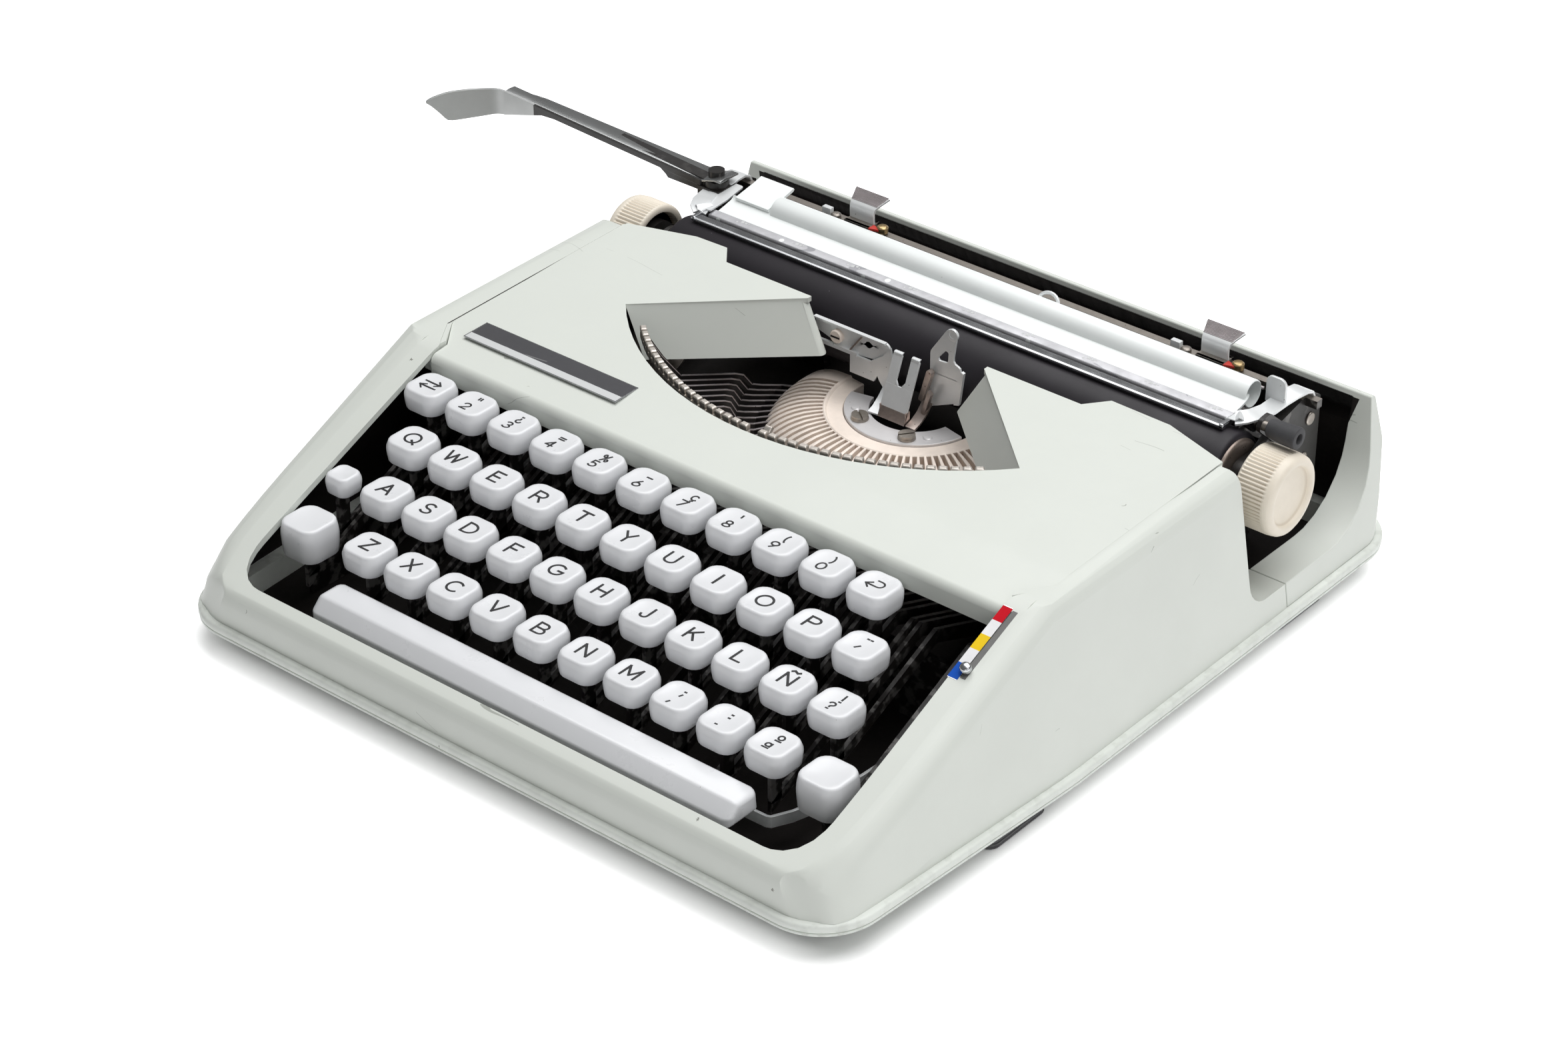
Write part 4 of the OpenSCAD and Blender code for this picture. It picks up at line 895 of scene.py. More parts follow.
def draw_sign(form, sign, on_top, centre, height, stroke_w, finish=1):
    """Strips along the strokes of a sign, each a little longer than its line so that corners close."""
    strokes = SIGNS[sign]
    xs = [x for s in strokes for x, _ in s]
    wide, over = SIGN_WIDTH * height, STROKE_END * stroke_w
    middle = (min(xs) + max(xs)) / 2
    for stroke in strokes:
        for part in split_at_corners(stroke):
            flat = [Vector((centre[0] + (x - middle) * wide, centre[1] + (y - .5) * height)) for x, y in part]
            flat = [p for i, p in enumerate(flat) if i == 0 or (p - flat[i - 1]).length > 1e-4]
            if len(flat) < 2:
                continue
            flat[0] = flat[0] - (flat[1] - flat[0]).normalized() * over
            flat[-1] = flat[-1] + (flat[-1] - flat[-2]).normalized() * over
            along_path(form, [on_top(p.x, p.y) for p in flat], flat_section(stroke_w, STROKE_DEPTH), finish)


print("signs", len(SIGNS))

# %% [markdown]
# Under each cap a flat steel lever runs back to the common rod. Its outline repeats the solid's, so
# the lever turns on the rod where the joint says.

# %% Key lever
ROW_X, ROW_PITCH, ROW_STEP, KEY_PITCH = (-111.2, -101.6, -95.8, -85.8), 18.73, 8.55, 19.05
FIRST_Y, FIRST_Z, CAP_FOOT, CAP_TOP, CAP_H = 93.4, 51.35, 15.6, 14.4, 8.0
ROD_Y, ROD_Z, LEVER_T, LEVER_H, LEVER_KNEE = 185.0, 4.0, 1.5, 4.0, 104.4


def lever_top(y):
    return FIRST_Z - CAP_H - 9 + ROW_STEP / ROW_PITCH * (y - FIRST_Y - CAP_FOOT / 2)


def key_lever(form, x, y, tail=2.0, finish=2):
    y0, knee = y - tail, lever_top(LEVER_KNEE)
    hub = [(ROD_Y + 4.5 * math.cos(a), ROD_Z + 4.5 * math.sin(a)) for a in map(math.radians, range(130, -131, -20))]
    outline = [(y0, lever_top(y0)), (LEVER_KNEE, knee), *hub, (LEVER_KNEE, knee - LEVER_H - 1),
               (y0, lever_top(y0) - LEVER_H)]
    form.plate(outline, lambda p, t: (x + (t - 0.5) * LEVER_T, p[0], p[1]), finish)


def stem(form, x, y, foot, finish=2, spring=1.5):
    form.box((x - LEVER_T / 2, y - 2, lever_top(y) - spring), (x + LEVER_T / 2, y + 3, foot + 0.3), finish)


print("lever top at the first row", round(lever_top(FIRST_Y), 1))

# %% [markdown]
# Four rows of keys step up towards the back, each shifted sideways against the next. Every letter has a
# joint and so is a piece of its own; the numbers move as one node, and so do the six sign keys.

# %% Typing keys
KEY_FINISHES = [key_white, legend_black, black_steel]
ROW_SIGNS = [
    ["both_ways", ("2", "quote"), ("3", "turned_query"), ("4", "equals"), ("5", "percent"), ("6", "dash"),
     ("7", "cedilla"), ("8", "apostrophe"), ("9", "open"), ("0", "close"), "hook_back"],
    list("QWERTYUIOP") + [("acute", "two_dots")],
    list("ASDFGHJKL") + ["NN", ("query", "shriek")],
    list("ZXCVBNM") + [("comma", "semicolon"), ("stop", "colon"), ("ordinal_a", "ordinal_o")],
]


def typing_key(form, row, col):
    x, y, z = ROW_X[row] + col * KEY_PITCH, FIRST_Y - row * ROW_PITCH, FIRST_Z - row * ROW_STEP
    on_top = key_cap(form, (x, y, z - CAP_H), CAP_FOOT, CAP_TOP, CAP_H)
    sign = ROW_SIGNS[row][col]
    if isinstance(sign, tuple):
        draw_sign(form, sign[0], on_top, (-0.5, -2.3), 3.9, 0.66)
        draw_sign(form, sign[1], on_top, (0.6, 2.5), 3.6, 0.66)
    else:
        height, stroke_w = (6.0, 0.64) if sign in ("both_ways", "hook_back") else (5.6, 0.84)
        draw_sign(form, sign, on_top, (-0.2, 0.2), height, stroke_w)
    stem(form, x, y, z - CAP_H)
    key_lever(form, x, y)


def key_piece(node, places):
    form = Form()
    for row, col in places:
        typing_key(form, row, col)
    piece(node + "_moulded", form, KEY_FINISHES, node, [node], hard_angle=40)


key_piece("margin_release_key", [(0, 0)])
key_piece("backspace_key", [(0, 10)])
key_piece("number_keys", [(0, c) for c in range(1, 10)])
key_piece("sign_keys", [(1, 10), (2, 9), (2, 10), (3, 7), (3, 8), (3, 9)])
for row, letters in ((1, "qwertyuiop"), (2, "asdfghjkl"), (3, "zxcvbnm")):
    for col, letter in enumerate(letters):
        key_piece("key_" + letter, [(row, col)])
print("typing keys done")

# %% [markdown]
# Shift keys are taller, without a legend, and joined by a shaft behind. The lock is a small cap that
# stands a little lower. The space bar is one long moulding with a sloping front and rounded ends.

# %% Shift keys, lock and space bar
SHIFT_Y, SHIFT_Z, SHIFT_H = FIRST_Y - 3 * ROW_PITCH - 1.5, FIRST_Z - 3 * ROW_STEP, 12.5
shift = Form()
for x, lever_x in ((-112.3, -113.3), (108.1, 108.1)):
    key_cap(shift, (x, SHIFT_Y, SHIFT_Z - SHIFT_H), 16.6, 15.4, SHIFT_H)
    key_lever(shift, lever_x, SHIFT_Y)
    stem(shift, lever_x, SHIFT_Y, SHIFT_Z - SHIFT_H, spring=1.0)
    web = [(172, -3), (175, -3), (180, ROD_Z), (172, ROD_Z + 4)]
    shift.plate(web, lambda p, t, x=lever_x: (x + (t - 0.5) * LEVER_T, p[0], p[1]), 2)
shift.turned([(-113.3, 1.8), (108.1, 1.8)], across("x", (0, 173.5, -2.5)), 16, 2)
piece("shift_keys_moulded", shift, KEY_FINISHES, "shift_keys", ["shift_keys"], hard_angle=40)

LOCK_Y, LOCK_Z, LOCK_H = FIRST_Y - 2 * ROW_PITCH - 2, FIRST_Z - 2 * ROW_STEP, 7.0
lock = Form()
key_cap(lock, (-114.2, LOCK_Y, LOCK_Z - LOCK_H), 10.5, 9.5, LOCK_H)
key_lever(lock, -116, LOCK_Y)
stem(lock, -116, LOCK_Y, LOCK_Z - LOCK_H, spring=1.0)
piece("shift_lock_moulded", lock, KEY_FINISHES, "shift_lock_key", ["shift_lock_key"], hard_angle=40)

SPACE_LEN, SPACE_MID, SPACE_Z, SPACE_FOOT = 178.5, 0.0, 16.0, 8.0
bar_outline = rounded([(11.8, SPACE_FOOT), (27.0, SPACE_FOOT), (26.2, SPACE_Z), (16.2, SPACE_Z), (11.8, 11.4)],
                      [0.6, 0.6, 1.6, 2.2, 1.6], 6)
bar_centre = Vector((19.4, 11.8))
space = Form()
rings = []
for side in (-1, 1):
    ends = [(0.0, 3.0), (0.25, 2.0), (0.8, 1.1), (1.7, 0.45), (3.0, 0.0)]
    for inward, shrink in (ends if side < 0 else reversed(ends)):
        x = SPACE_MID + side * (SPACE_LEN / 2 - inward)
        rings.append([(x, bar_centre.x + (p[0] - bar_centre.x) * (1 - shrink / 7.6),
                       bar_centre.y + (p[1] - bar_centre.y) * (1 - shrink / 6.5)) for p in bar_outline])
space.loft(rings)
for x in (-69.9, 63.4):
    level = lever_top(37)
    key_lever(space, x, 37, 0)
    space.box((x - 0.75, 17, level - LEVER_H), (x + 0.75, 38, level), 2)
    space.box((x - 0.75, 17, level - 1), (x + 0.75, 22, SPACE_FOOT + 0.3), 2)
piece("space_bar_moulded", space, KEY_FINISHES, "space_bar", ["space_bar"], hard_angle=40)
print("space bar rings", len(rings))

# %% [markdown]
# ## Carriage
# The platen is a hard rubber roll on a steel shaft. A dull bronze cap closes each end and a black hub
# stands between cap and knob. The knobs are moulded: a fine wave round the rim gives the grip, the rim's
# edge is smooth and the face is a dish. All of these are bodies of revolution, so they are turned here.

# %% Platen and knobs
PLATEN = (0.0, 231.0, 42.0)
ON_PLATEN = across("x", PLATEN)
roll = Form()
roll_end = [(118.3, 14.5), (119.1, 14.1), (119.5, 13.2)]
roll.turned(sided(-1, reversed(roll_end)) + roll_end, ON_PLATEN, 72, 0)
bronze_cap = [(119.0, 12.6), (120.0, 12.5), (120.5, 12.0), (120.7, 11.0), (120.75, 4.4)]
black_hub = [(120.6, 4.5), (124.4, 4.5), (124.5, 7.4), (124.9, 8.0), (126.6, 8.0), (127.0, 7.4), (127.1, 4.0),
             (136.4, 4.0)]
for s in (-1, 1):
    roll.turned(sided(s, bronze_cap), ON_PLATEN, 56, 1)
    roll.turned(sided(s, black_hub), ON_PLATEN, 40, 2)
piece("platen_roll", roll, [platen_rubber, dull_bronze, black_steel], "platen", ["platen"],
      hard_angle=40)

RIBS, RIB_STEPS, RIB_DEPTH, RIB_FROM, RIB_LENGTH, LEFT_KNOB_OUT = 64, 6, 0.55, 128.8, 10.4, 3.5
hollow_back = [(128.6, 8.2), (130.6, 8.4), (130.6, 11.2), (127.6, 11.6), (127.4, 12.2)]
knob_profile = hollow_back + [
    (127.5, 13.2), (127.8, 13.9), (128.3, 14.2), (128.9, 14.4), (138.6, 14.4), (139.3, 14.25), (139.9, 14.2),
    (141.0, 14.0), (141.8, 13.5), (142.3, 12.7), (142.4, 11.9), (142.3, 11.2), (141.9, 10.7), (141.4, 10.45),
    (140.9, 10.3), (140.6, 9.9), (140.45, 9.2), (140.4, 6.0), (140.4, 0.3)]
# A black lining inside the knob's hollow is painted shade.
hollow_painted_shade = [(126.9, 3.9), (126.9, 8.4), (130.5, 8.4), (130.5, 11.1)]


def knurl(along, i):
    start = RIB_FROM + (LEFT_KNOB_OUT if along < 0 else 0.0)
    wave = (0.5 - 0.5 * math.cos(2 * math.pi * i / RIB_STEPS)) ** 0.7
    return RIB_DEPTH * wave if start < abs(along) < start + RIB_LENGTH else 0.0


knobs = Form()
for s, out in ((-1, LEFT_KNOB_OUT), (1, 0.0)):
    knobs.turned(sided(s, knob_profile, out), ON_PLATEN, RIBS * RIB_STEPS, 0, ribs=knurl)
    knobs.turned(sided(s, hollow_painted_shade, out), ON_PLATEN, 48, 1)
piece("platen_knobs_turned", knobs, [cream, black_steel], "platen", ["platen_knobs"], hard_angle=55)
print("knob ribs", RIBS)

# %% [markdown]
# Behind the platen lies the paper table: a pale plate that slopes up into a tube, open at its right end.
# A silver ruler band runs along the front edge. Its coating has flaked off wherever a number stood, so it
# carries a patch every inch. The plate and the band are two lofts that share one edge.

# %% Paper table
table = Form()
plate_line = [(240.3, 58.05), (244, 58.8), (247.2, 59.6), (248.4, 60.3), (248.9, 61.2)]
ruler_line = [(236.6, 57.0), (236.9, 57.5), (237.4, 57.75), (240.3, 58.15)]
for line, finish_no, x0, x1 in ((plate_line, 0, -110.5, 112), (ruler_line, 1, -112, 112)):
    low = [(y, z - 0.9) for y, z in reversed(line)]
    table.loft([[(x, y, z) for y, z in line + low] for x in (x0, x1)], finish_no)
tube = across("x", (0, 252.2, 59.6))
tube_profile = [(-92.5, 4.3), (-92.3, 4.8), (-91.8, 5.0), (110.6, 5.0), (111.2, 4.9), (111.4, 4.6), (111.2, 4.4),
                (104, 4.3), (104, 0.2)]
table.turned(tube_profile, tube, 48, 0)
# A black disc deep in the tube's open end is painted shade.
table.turned([(104.2, 4.2), (104.4, 4.2), (104.5, 0.2)], tube, 24, 2)
# flat end piece on the left, with its far edge turned up
side = [(247.6, 60.4), (258, 62.2), (261.6, 62.9), (262.4, 63.6), (262.0, 64.2), (258, 63.2), (247.6, 61.3)]
table.loft([[(x, y, z) for y, z in side] for x in (-108.5, -93.2)], 0)
for x in (-103, 101):
    table.box((x - 3, 254, 40), (x + 3, 256.6, 57), 2)
    table.box((x - 3, 254, 40), (x + 3, 262, 41.6), 2)


def on_ruler(p, t):
    return (p[0], p[1], 57.75 + (p[1] - 237.4) * 0.138 + 0.02 + 0.03 * t)


# flaked numbers of the ruler, one group an inch
patches = 0
for inch in range(-4, 5):
    x = inch * 25.4 + 3
    for dx, dy, w, d in ((0, 0, 1.3, 1.5), (1.8, 0.3, 0.9, 1.2), (-1.6, -0.2, 0.6, 0.9), (3.1, 0.6, 0.5, 0.6)):
        y = 238.6 + dy - 0.2 * (patches % 3)
        patches += 1
        flake = [(x + dx, y), (x + dx + w, y + 0.2), (x + dx + w * 0.8, y + d), (x + dx - 0.2, y + d * 0.8)]
        table.plate(rounded(flake, [0.2] * 4, 3), on_ruler, 3)
piece("paper_table_pressed", table, [table_paint, ruler_silver, black_steel, flaked], "carriage", ["paper_table"],
      hard_angle=40)
print("flaked patches", patches)

# %% [markdown]
# The paper bail is a bright bar on two thin arms; it lies just in front of the ruler, a dark gap between.

# %% Paper bail
bail = Form()
along_path(bail, [(-114.4, 231.8, 58), (114.4, 231.8, 58)],
           rounded([(-2.0, -.6), (2.0, -.6), (2.0, .3), (1.2, .6), (0.2, .6), (-2.0, .5)],
                   [.3, .3, .3, .3, .5, .3], 3))
arm = rounded([(229.8, 57.0), (239, 56.6), (249.6, 47.2), (255, 47.2), (255, 52.8), (251, 54), (242, 59.2),
               (229.8, 59.0)], [.8, 3, 2.6, 2.6, 2.6, 2.6, 3, .8], 5)
pivot = [(112.4, 2.4), (112.8, 2.6), (114.6, 2.6), (114.9, 2.2)]
for s in (-1, 1):
    bail.plate(arm, lambda p, t, s=s: (s * (112.9 + t * 1.4), p[0], p[1]), 0)
    bail.turned(sided(s, pivot), across("x", (0, 252, 50)), 24, 1)
piece("paper_bail_bar", bail, [bright, dull_steel], "paper_bail", ["paper_bail"], edge=0.15)
print("bail points", len(bail.points))

# %% [markdown]
# The carriage frame is black: two end plates, a beam and the stop bar. Its solid is dressed by the
# skin used for the body. A bright strap at each end bridges from the ruler to the stop bar, and a
# small wire loop stands behind the tube.

# %% Carriage frame, straps and small screws


def on_stop_bar(c, n):
    return 1 if 264.3 < c.y < 267.7 and c.z > 54.3 and abs(c.x) < 120.5 else 0


skin("carriage_frame", [black_steel, dull_steel], on_stop_bar, 0.25)
straps = Form()
strap_run = [(236.9, 58.5), (238.6, 59.3), (242, 59.2), (248, 58.9), (255, 59.4), (260, 60.2), (264, 60.4),
             (266.6, 59.2), (267.6, 57.2), (267.8, 55.0)]
left_x = [114.6, 117.4, 119.2, 120.6, 121.2, 121.4, 121.4]
right_x = [114.6, 117.4, 118.9, 120.0, 120.4, 121.4, 122.3]
crumpled = [(112.6, 236.8, 58.2), (113.6, 236.4, 59.2), (114.8, 236.9, 58.9), (115.8, 237.6, 60.0),
            (117.2, 238.4, 59.2)]
upper_screw = [(124.0, 2.4), (124.5, 2.4), (124.8, 2.0), (124.8, 0.1)]
lower_screw = [(124.0, 1.8), (124.4, 1.8), (124.6, 1.4), (124.6, 0.1)]
for s, wide, way in ((-1, 7.6, left_x), (1, 6.6, right_x)):
    path = [(s * x, y, z) for x, (y, z) in zip(way + way[-1:] * 3, strap_run)]
    along_path(straps, path, flat_section(wide, 0.9), 0, up=(0, -0.25, 1))
    along_path(straps, [(s * x, y, z) for x, y, z in crumpled], flat_section(4.2, 0.5), 0)
    straps.turned(sided(s, upper_screw), across("x", (0, 268, 48)), 24, 1)
    straps.turned(sided(s, lower_screw), across("x", (0, 266, 34)), 24, 1)
left_plate = rounded([(-111.6, 237.0), (-116.6, 236.6), (-121.0, 247), (-122.6, 258), (-113.5, 258), (-112, 247)],
                     [1, 3, 6, 3, 1, 1], 6)
straps.plate(left_plate, lambda p, t: (p[0], p[1], 58.5 + 0.05 * max(p[1] - 245, 0) + 0.8 * t), 0)
half_turn = [math.pi * k / 12 for k in range(13)]
loop = [(23.5 + 4.2 * math.cos(a), 257.6 + 1.6 * math.sin(a), 60.2 + 3.4 * math.sin(a)) for a in half_turn]
along_path(straps, loop, round_section(0.7, 8), 0, up=(0, 1, -0.4))
straps.box((-92, 257.0, 59.4), (112, 257.9, 60.2), 2)
piece("carriage_straps", straps, [bright_sheet_painted_reflection, dull_steel, rose_steel], "carriage", [], edge=0.12)
print("strap points", len(straps.points))

# %% [markdown]
# Margin stops: a steel block that clips on the stop bar, and a sheet finger piece that rises from it and
# flares into a ribbed leaf. A red pointer and a small brass button stand right of its foot, a screw head
# and a little bright tab left of it.

# %% Margin stops
LEAF_RIBS = 11
leaf_rise = [(5.5, 266.4, 58.6), (5.4, 266.2, 61.0), (5.4, 266.2, 63.4), (5.6, 266.9, 64.7), (6.2, 268.6, 65.6),
             (7.0, 270.8, 66.5), (7.7, 272.4, 67.3)]
STOP_FINISHES = [bright_sheet_painted_reflection, dull_steel, red_paint, brass, rose_steel]
for node, x in (("margin_stop_left", -65.0), ("margin_stop_right", 86.6)):
    stop = Form()
    stop.box((x - 5.5, 262.7, 52.8), (x + 5.5, 264.2, 59.2), 1)
    stop.box((x - 5.5, 267.8, 52.8), (x + 5.5, 269.2, 59.2), 1)
    stop.box((x - 5.5, 262.7, 57.9), (x + 5.5, 269.2, 59.2), 1)
    leaf = [[(x + a * w, y + b * 0.45, z - b * 0.35) for a, b in oblong(-1, 1, -1, 1)]
            for w, y, z in leaf_rise]
    stop.loft(leaf, 0)
    for k in range(LEAF_RIBS):
        y = 267.4 + k * 0.46
        z = 65.0 + (y - 266.9) * 0.45 + 0.55
        w = 5.8 + (y - 267.2) * 0.34
        stop.box((x - w, y - 0.12, z - 0.3), (x + w, y + 0.12, z + 0.18), 4)
    stop.plate([(x + 6.0, 262.0), (x + 10.6, 263.6), (x + 6.0, 265.4)], lambda p, t: (p[0], p[1], 58.8 + 0.9 * t), 2)
    stop.turned([(58.0, 2.1), (60.0, 2.1), (60.5, 1.6), (60.6, 0.1)], across("z", (x + 9.9, 265.4, 0)), 24, 3)
    stop.turned([(58.2, 1.9), (59.6, 1.9), (60.1, 1.3), (60.2, 0.1)], across("z", (x - 9.6, 263.2, 0)), 24, 1)
    stop.box((x - 16.2, 263.4, 58.0), (x - 12.4, 265.4, 60.6), 0)
    stop.box((x - 16.2, 263.0, 57.6), (x + 11.4, 266.4, 58.2), 1)
    piece(node + "_pressed", stop, STOP_FINISHES, node, [node], edge=0.12)
print("ribs on a stop", LEAF_RIBS)

# %% [markdown]
# Levers at the right end: the bright thumb tab that frees the paper, and the black lever with a
# rubber sleeve that frees the carriage.

# %% Paper release and carriage release
release = Form()
tab = rounded(oblong(115.0, 122.6, 58.0, 68.0), [0.3, 0.6, 2.6, 2.6], 7)
release.loft([[(x, 253.4 + 0.3 * (abs(x - 118.8) / 3.8) ** 2 + t, z) for x, z in tab] for t in (0, 0.5, 1.2)], 0)
neck = [(253.6, 60.0), (255.6, 60.6), (266.4, 46.4), (265.0, 43.0), (261.4, 43.4), (259.8, 46.0)]
release.plate(rounded(neck, [0.4, 0.4, 2, 2, 2, 2], 5), lambda p, t: (115.2 + 1.4 * t, p[0], p[1]), 1)
piece("paper_release_tab", release, [bright_sheet_painted_reflection, black_steel], "paper_release_lever", ["paper_release_lever"],
      edge=0.25)

free = Form()
free_arm = rounded([(251.6, 43.8), (258.4, 45.6), (258, 48), (240.4, 63), (235.6, 62.6), (233.6, 59.6)],
                   [2.4, 2.4, 2.5, 2.5, 2.2, 2.2], 6)
free.plate(free_arm, lambda p, t: (124.3 + 1.6 * t, p[0], p[1]), 0)
free.turned([(124.2, 2.6), (126.4, 2.6), (126.8, 2.2), (126.8, 0.1)], across("x", (0, 255, 47)), 24, 2)
on_pin = across("x", (0, 236.5, 60.4))
free.turned([(125.4, 1.8), (128.4, 1.8)], on_pin, 20, 2)
rubber_sleeve = [(128.0, 2.4), (128.2, 2.9), (128.8, 3.2), (132.0, 3.5), (136.0, 3.8), (138.6, 3.9), (139.4, 3.7),
                 (139.6, 3.4), (139.6, 1.9), (139.0, 1.7), (134.0, 1.6), (134.0, 0.1)]
free.turned(rubber_sleeve, on_pin, 40, 1)
piece("carriage_release_sleeve", free, [black_steel, foot_rubber, dull_steel], "carriage_release_lever",
      ["carriage_release_lever"], edge=0.2)
print("release points", len(release.points), len(free.points))

# %% [markdown]
# The return lever is one strip of plated steel. Its arm lies flat, with a flange turned down along the
# front, and the flange widens into the upright blade that the hand pushes. The blade's end is cut on a
# slant. A black bracket with a hollow lower edge carries the arm at the pivot.

# %% Return lever
LEVER_BEND, LEVER_HUB, BLADE_TURN = Vector((-220.5, 250.2)), Vector((-122.0, 253.0)), math.radians(240)
blade_way = Vector((math.cos(BLADE_TURN), math.sin(BLADE_TURN)))
arm_way = (LEVER_BEND - LEVER_HUB).normalized()
front = Vector((-arm_way.y, arm_way.x))
arm_length = (LEVER_BEND - LEVER_HUB).length


def arm_z(along):
    return 62.6 + 7.2 * max(along - 4, 0) / 94.5


FRONT_EDGE, BEND_STEPS = 4.2, 6
# The flange near the pivot is painted black as shade, though it is the plated steel of the rest.
BLACK_SHADE_RINGS = 9  # the flange stays black up to 84 mm from the pivot
# along the blade: distance from the bend, upper edge, lower edge
blade_cut = [(4, 1.1, -10.2), (8, 1.5, -10.2), (12, 1.7, -10.2), (14.4, 1.7, -10.1), (16.2, 1.6, -9.7),
             (17.4, 1.4, -8.6), (19, 1.1, -6.6), (20.8, 0.7, -4.6), (22.4, 0.2, -2.9), (23.6, -0.4, -1.9),
             (24.2, -1.0, -1.5)]
lever = Form()
top_rings, flange = [], []
for along in (-5, -2, 4, 10, 20, 34, 50, 66, 74, 80, 84, 88, 91, 94, 96.5, arm_length):
    p, z = LEVER_HUB + arm_way * along, arm_z(along) + (1.8 if along < 4 else 0)
    taper = 1.0 if along < arm_length - 12 else max(0.12, (arm_length - along) / 12) ** 0.6
    far = (2.6 + 3.8 * (1 - max(along, 0) / arm_length)) * taper - 3.0 * (1 - taper)
    section = [(FRONT_EDGE, 0.5), (3.4, 0.1), (1.6, 0.0), (-1.2, 0.25), (-far, 0.8), (-far, 1.5), (0.0, 1.2),
               (FRONT_EDGE, 1.2)]
    top_rings.append([(*(p + front * off), z - drop) for off, drop in section])
    if along > 2:
        deeper = max(0.0, (along - 78) / (arm_length - 78))
        flange.append((p + front * FRONT_EDGE, z - 0.3, z - 2.6 - 7.4 * deeper))
corner, end_z = LEVER_BEND + front * FRONT_EDGE, arm_z(arm_length)
for k in range(1, BEND_STEPS + 1):
    corner = corner + arm_way.lerp(blade_way, k / BEND_STEPS).normalized() * 1.1
    flange.append((corner, end_z - 0.3 + 0.15 * k, end_z - 10.0 - 0.03 * k))
flange += [(corner + blade_way * along, end_z + up, end_z + down) for along, up, down in blade_cut]
lever.loft(top_rings, 0)
rings = []
for i, (p, high, low) in enumerate(flange):
    a, b = flange[max(i - 1, 0)][0], flange[min(i + 1, len(flange) - 1)][0]
    way = (b - a).normalized()
    out = Vector((way.y, -way.x)) * 0.55
    one, other = (p.x + out.x, p.y + out.y), (p.x - out.x, p.y - out.y)
    rings.append([(*one, high), (*one, low), (*other, low), (*other, high)])
lever.loft(rings[:BLACK_SHADE_RINGS], 1)
lever.loft(rings[BLACK_SHADE_RINGS - 1:], 2)
on_hub = across("z", (*LEVER_HUB, 0))
lever.turned([(57.6, 4.0), (57.8, 4.6), (62.4, 4.6), (62.6, 4.2), (62.6, 3.1)], on_hub, 40, 1)
lever.turned([(62.6, 1.9), (64.6, 1.9), (64.7, 1.7), (64.7, 0.1)], on_hub, 32, 0)
bracket = [(-122, 62.6), (-168, 65.6), (-163, 63.6), (-152, 62.0), (-146.5, 60.6), (-143.4, 58.6), (-142.4, 57.5),
           (-124, 57.5), (-122, 58)]
lever.plate(bracket, lambda p, t: (p[0], 249.2 + 5.0 * t, p[1]), 1)
piece("return_lever_blade", lever, [lever_steel_painted_shade, black_steel, blade_steel_painted_light], "return_lever", ["return_lever"],
      edge=0.25)
print("return lever points", len(lever.points))

# %% [markdown]
# ## Type basket
# The segment is a half ring of bronze with 41 slots sawn into its rounded rim; one typebar hinges in each.
# Sawing is the way the real one is made. Here the teeth between the slots are lofted one by one, which
# leaves the slots open and lets each tooth taper towards the middle as it does on the machine.

# %% Segment
PRINT, SEGMENT_Z = Vector((-1.2, 216.5, 47.0)), 28.0
SLOTS, MIDDLE_SLOT, SLOT_STEP, SEGMENT_END = 41, 20, 4.2, 96


def basket(r, degrees, z):
    """A point round the printing point: degrees from straight ahead, positive to the right."""
    a = math.radians(degrees)
    return (PRINT.x + r * math.sin(a), PRINT.y - r * math.cos(a), SEGMENT_Z + z)


def swept(form, profile, start, stop, steps, finish_no):
    rings = [[basket(r, start + (stop - start) * k / steps, z) for r, z in profile] for k in range(steps + 1)]
    form.loft(rings, finish_no)


rim = [(31.6, -0.15), (34.6, -0.4), (38.4, -0.9), (41.5, -1.8), (44, -2.8), (47, -4.5), (49.4, -6.2), (51, -8.0),
       (52.3, -9.8), (53.3, -11.6), (53.9, -12.8), (53.6, -13.2), (31.6, -13.2)]
inner_band = [(24.8, -15.5), (24.8, -1.1), (25.0, -0.85), (30.4, -0.8), (30.8, -0.2), (31.1, 0), (31.5, 0),
              (31.9, -0.3), (31.9, -15.5)]
slot_floor = [(31.7, -15.4), (31.7, -13.1), (53.5, -13.1), (52.5, -14.6), (46, -15.4)]
crescent = [(15.8, -1.6), (15.8, -0.2), (16.0, 0), (24.4, 0), (24.6, -0.2), (24.6, -1.6)]
segment = Form()
swept(segment, inner_band, -SEGMENT_END, SEGMENT_END, 80, 0)
# The slot floors are near-black: painted shade in the sawn slots.
swept(segment, slot_floor, -SEGMENT_END, SEGMENT_END, 80, 1)
for s in (-1, 1):
    from_slot = [84 + math.degrees(math.asin(0.66 / r)) for r, z in rim]
    rings = [[basket(r, s * (d + (SEGMENT_END - d) * k / 6), z) for (r, z), d in zip(rim, from_slot)] for k in range(7)]
    segment.loft(rings, 0)
for k in range(SLOTS - 1):
    left, right = (k - MIDDLE_SLOT) * SLOT_STEP, (k + 1 - MIDDLE_SLOT) * SLOT_STEP
    rings = []
    for t in (0.0, 0.18, 0.5, 0.82, 1.0):
        ring = []
        for r, z in rim:
            gap = math.degrees(math.asin(0.74 / r))
            sunk = 0.16 if t in (0.0, 1.0) and z > -13 else 0
            ring.append(basket(r, left + gap + (right - left - 2 * gap) * t, z - sunk))
        rings.append(ring)
    segment.loft(rings, 0)

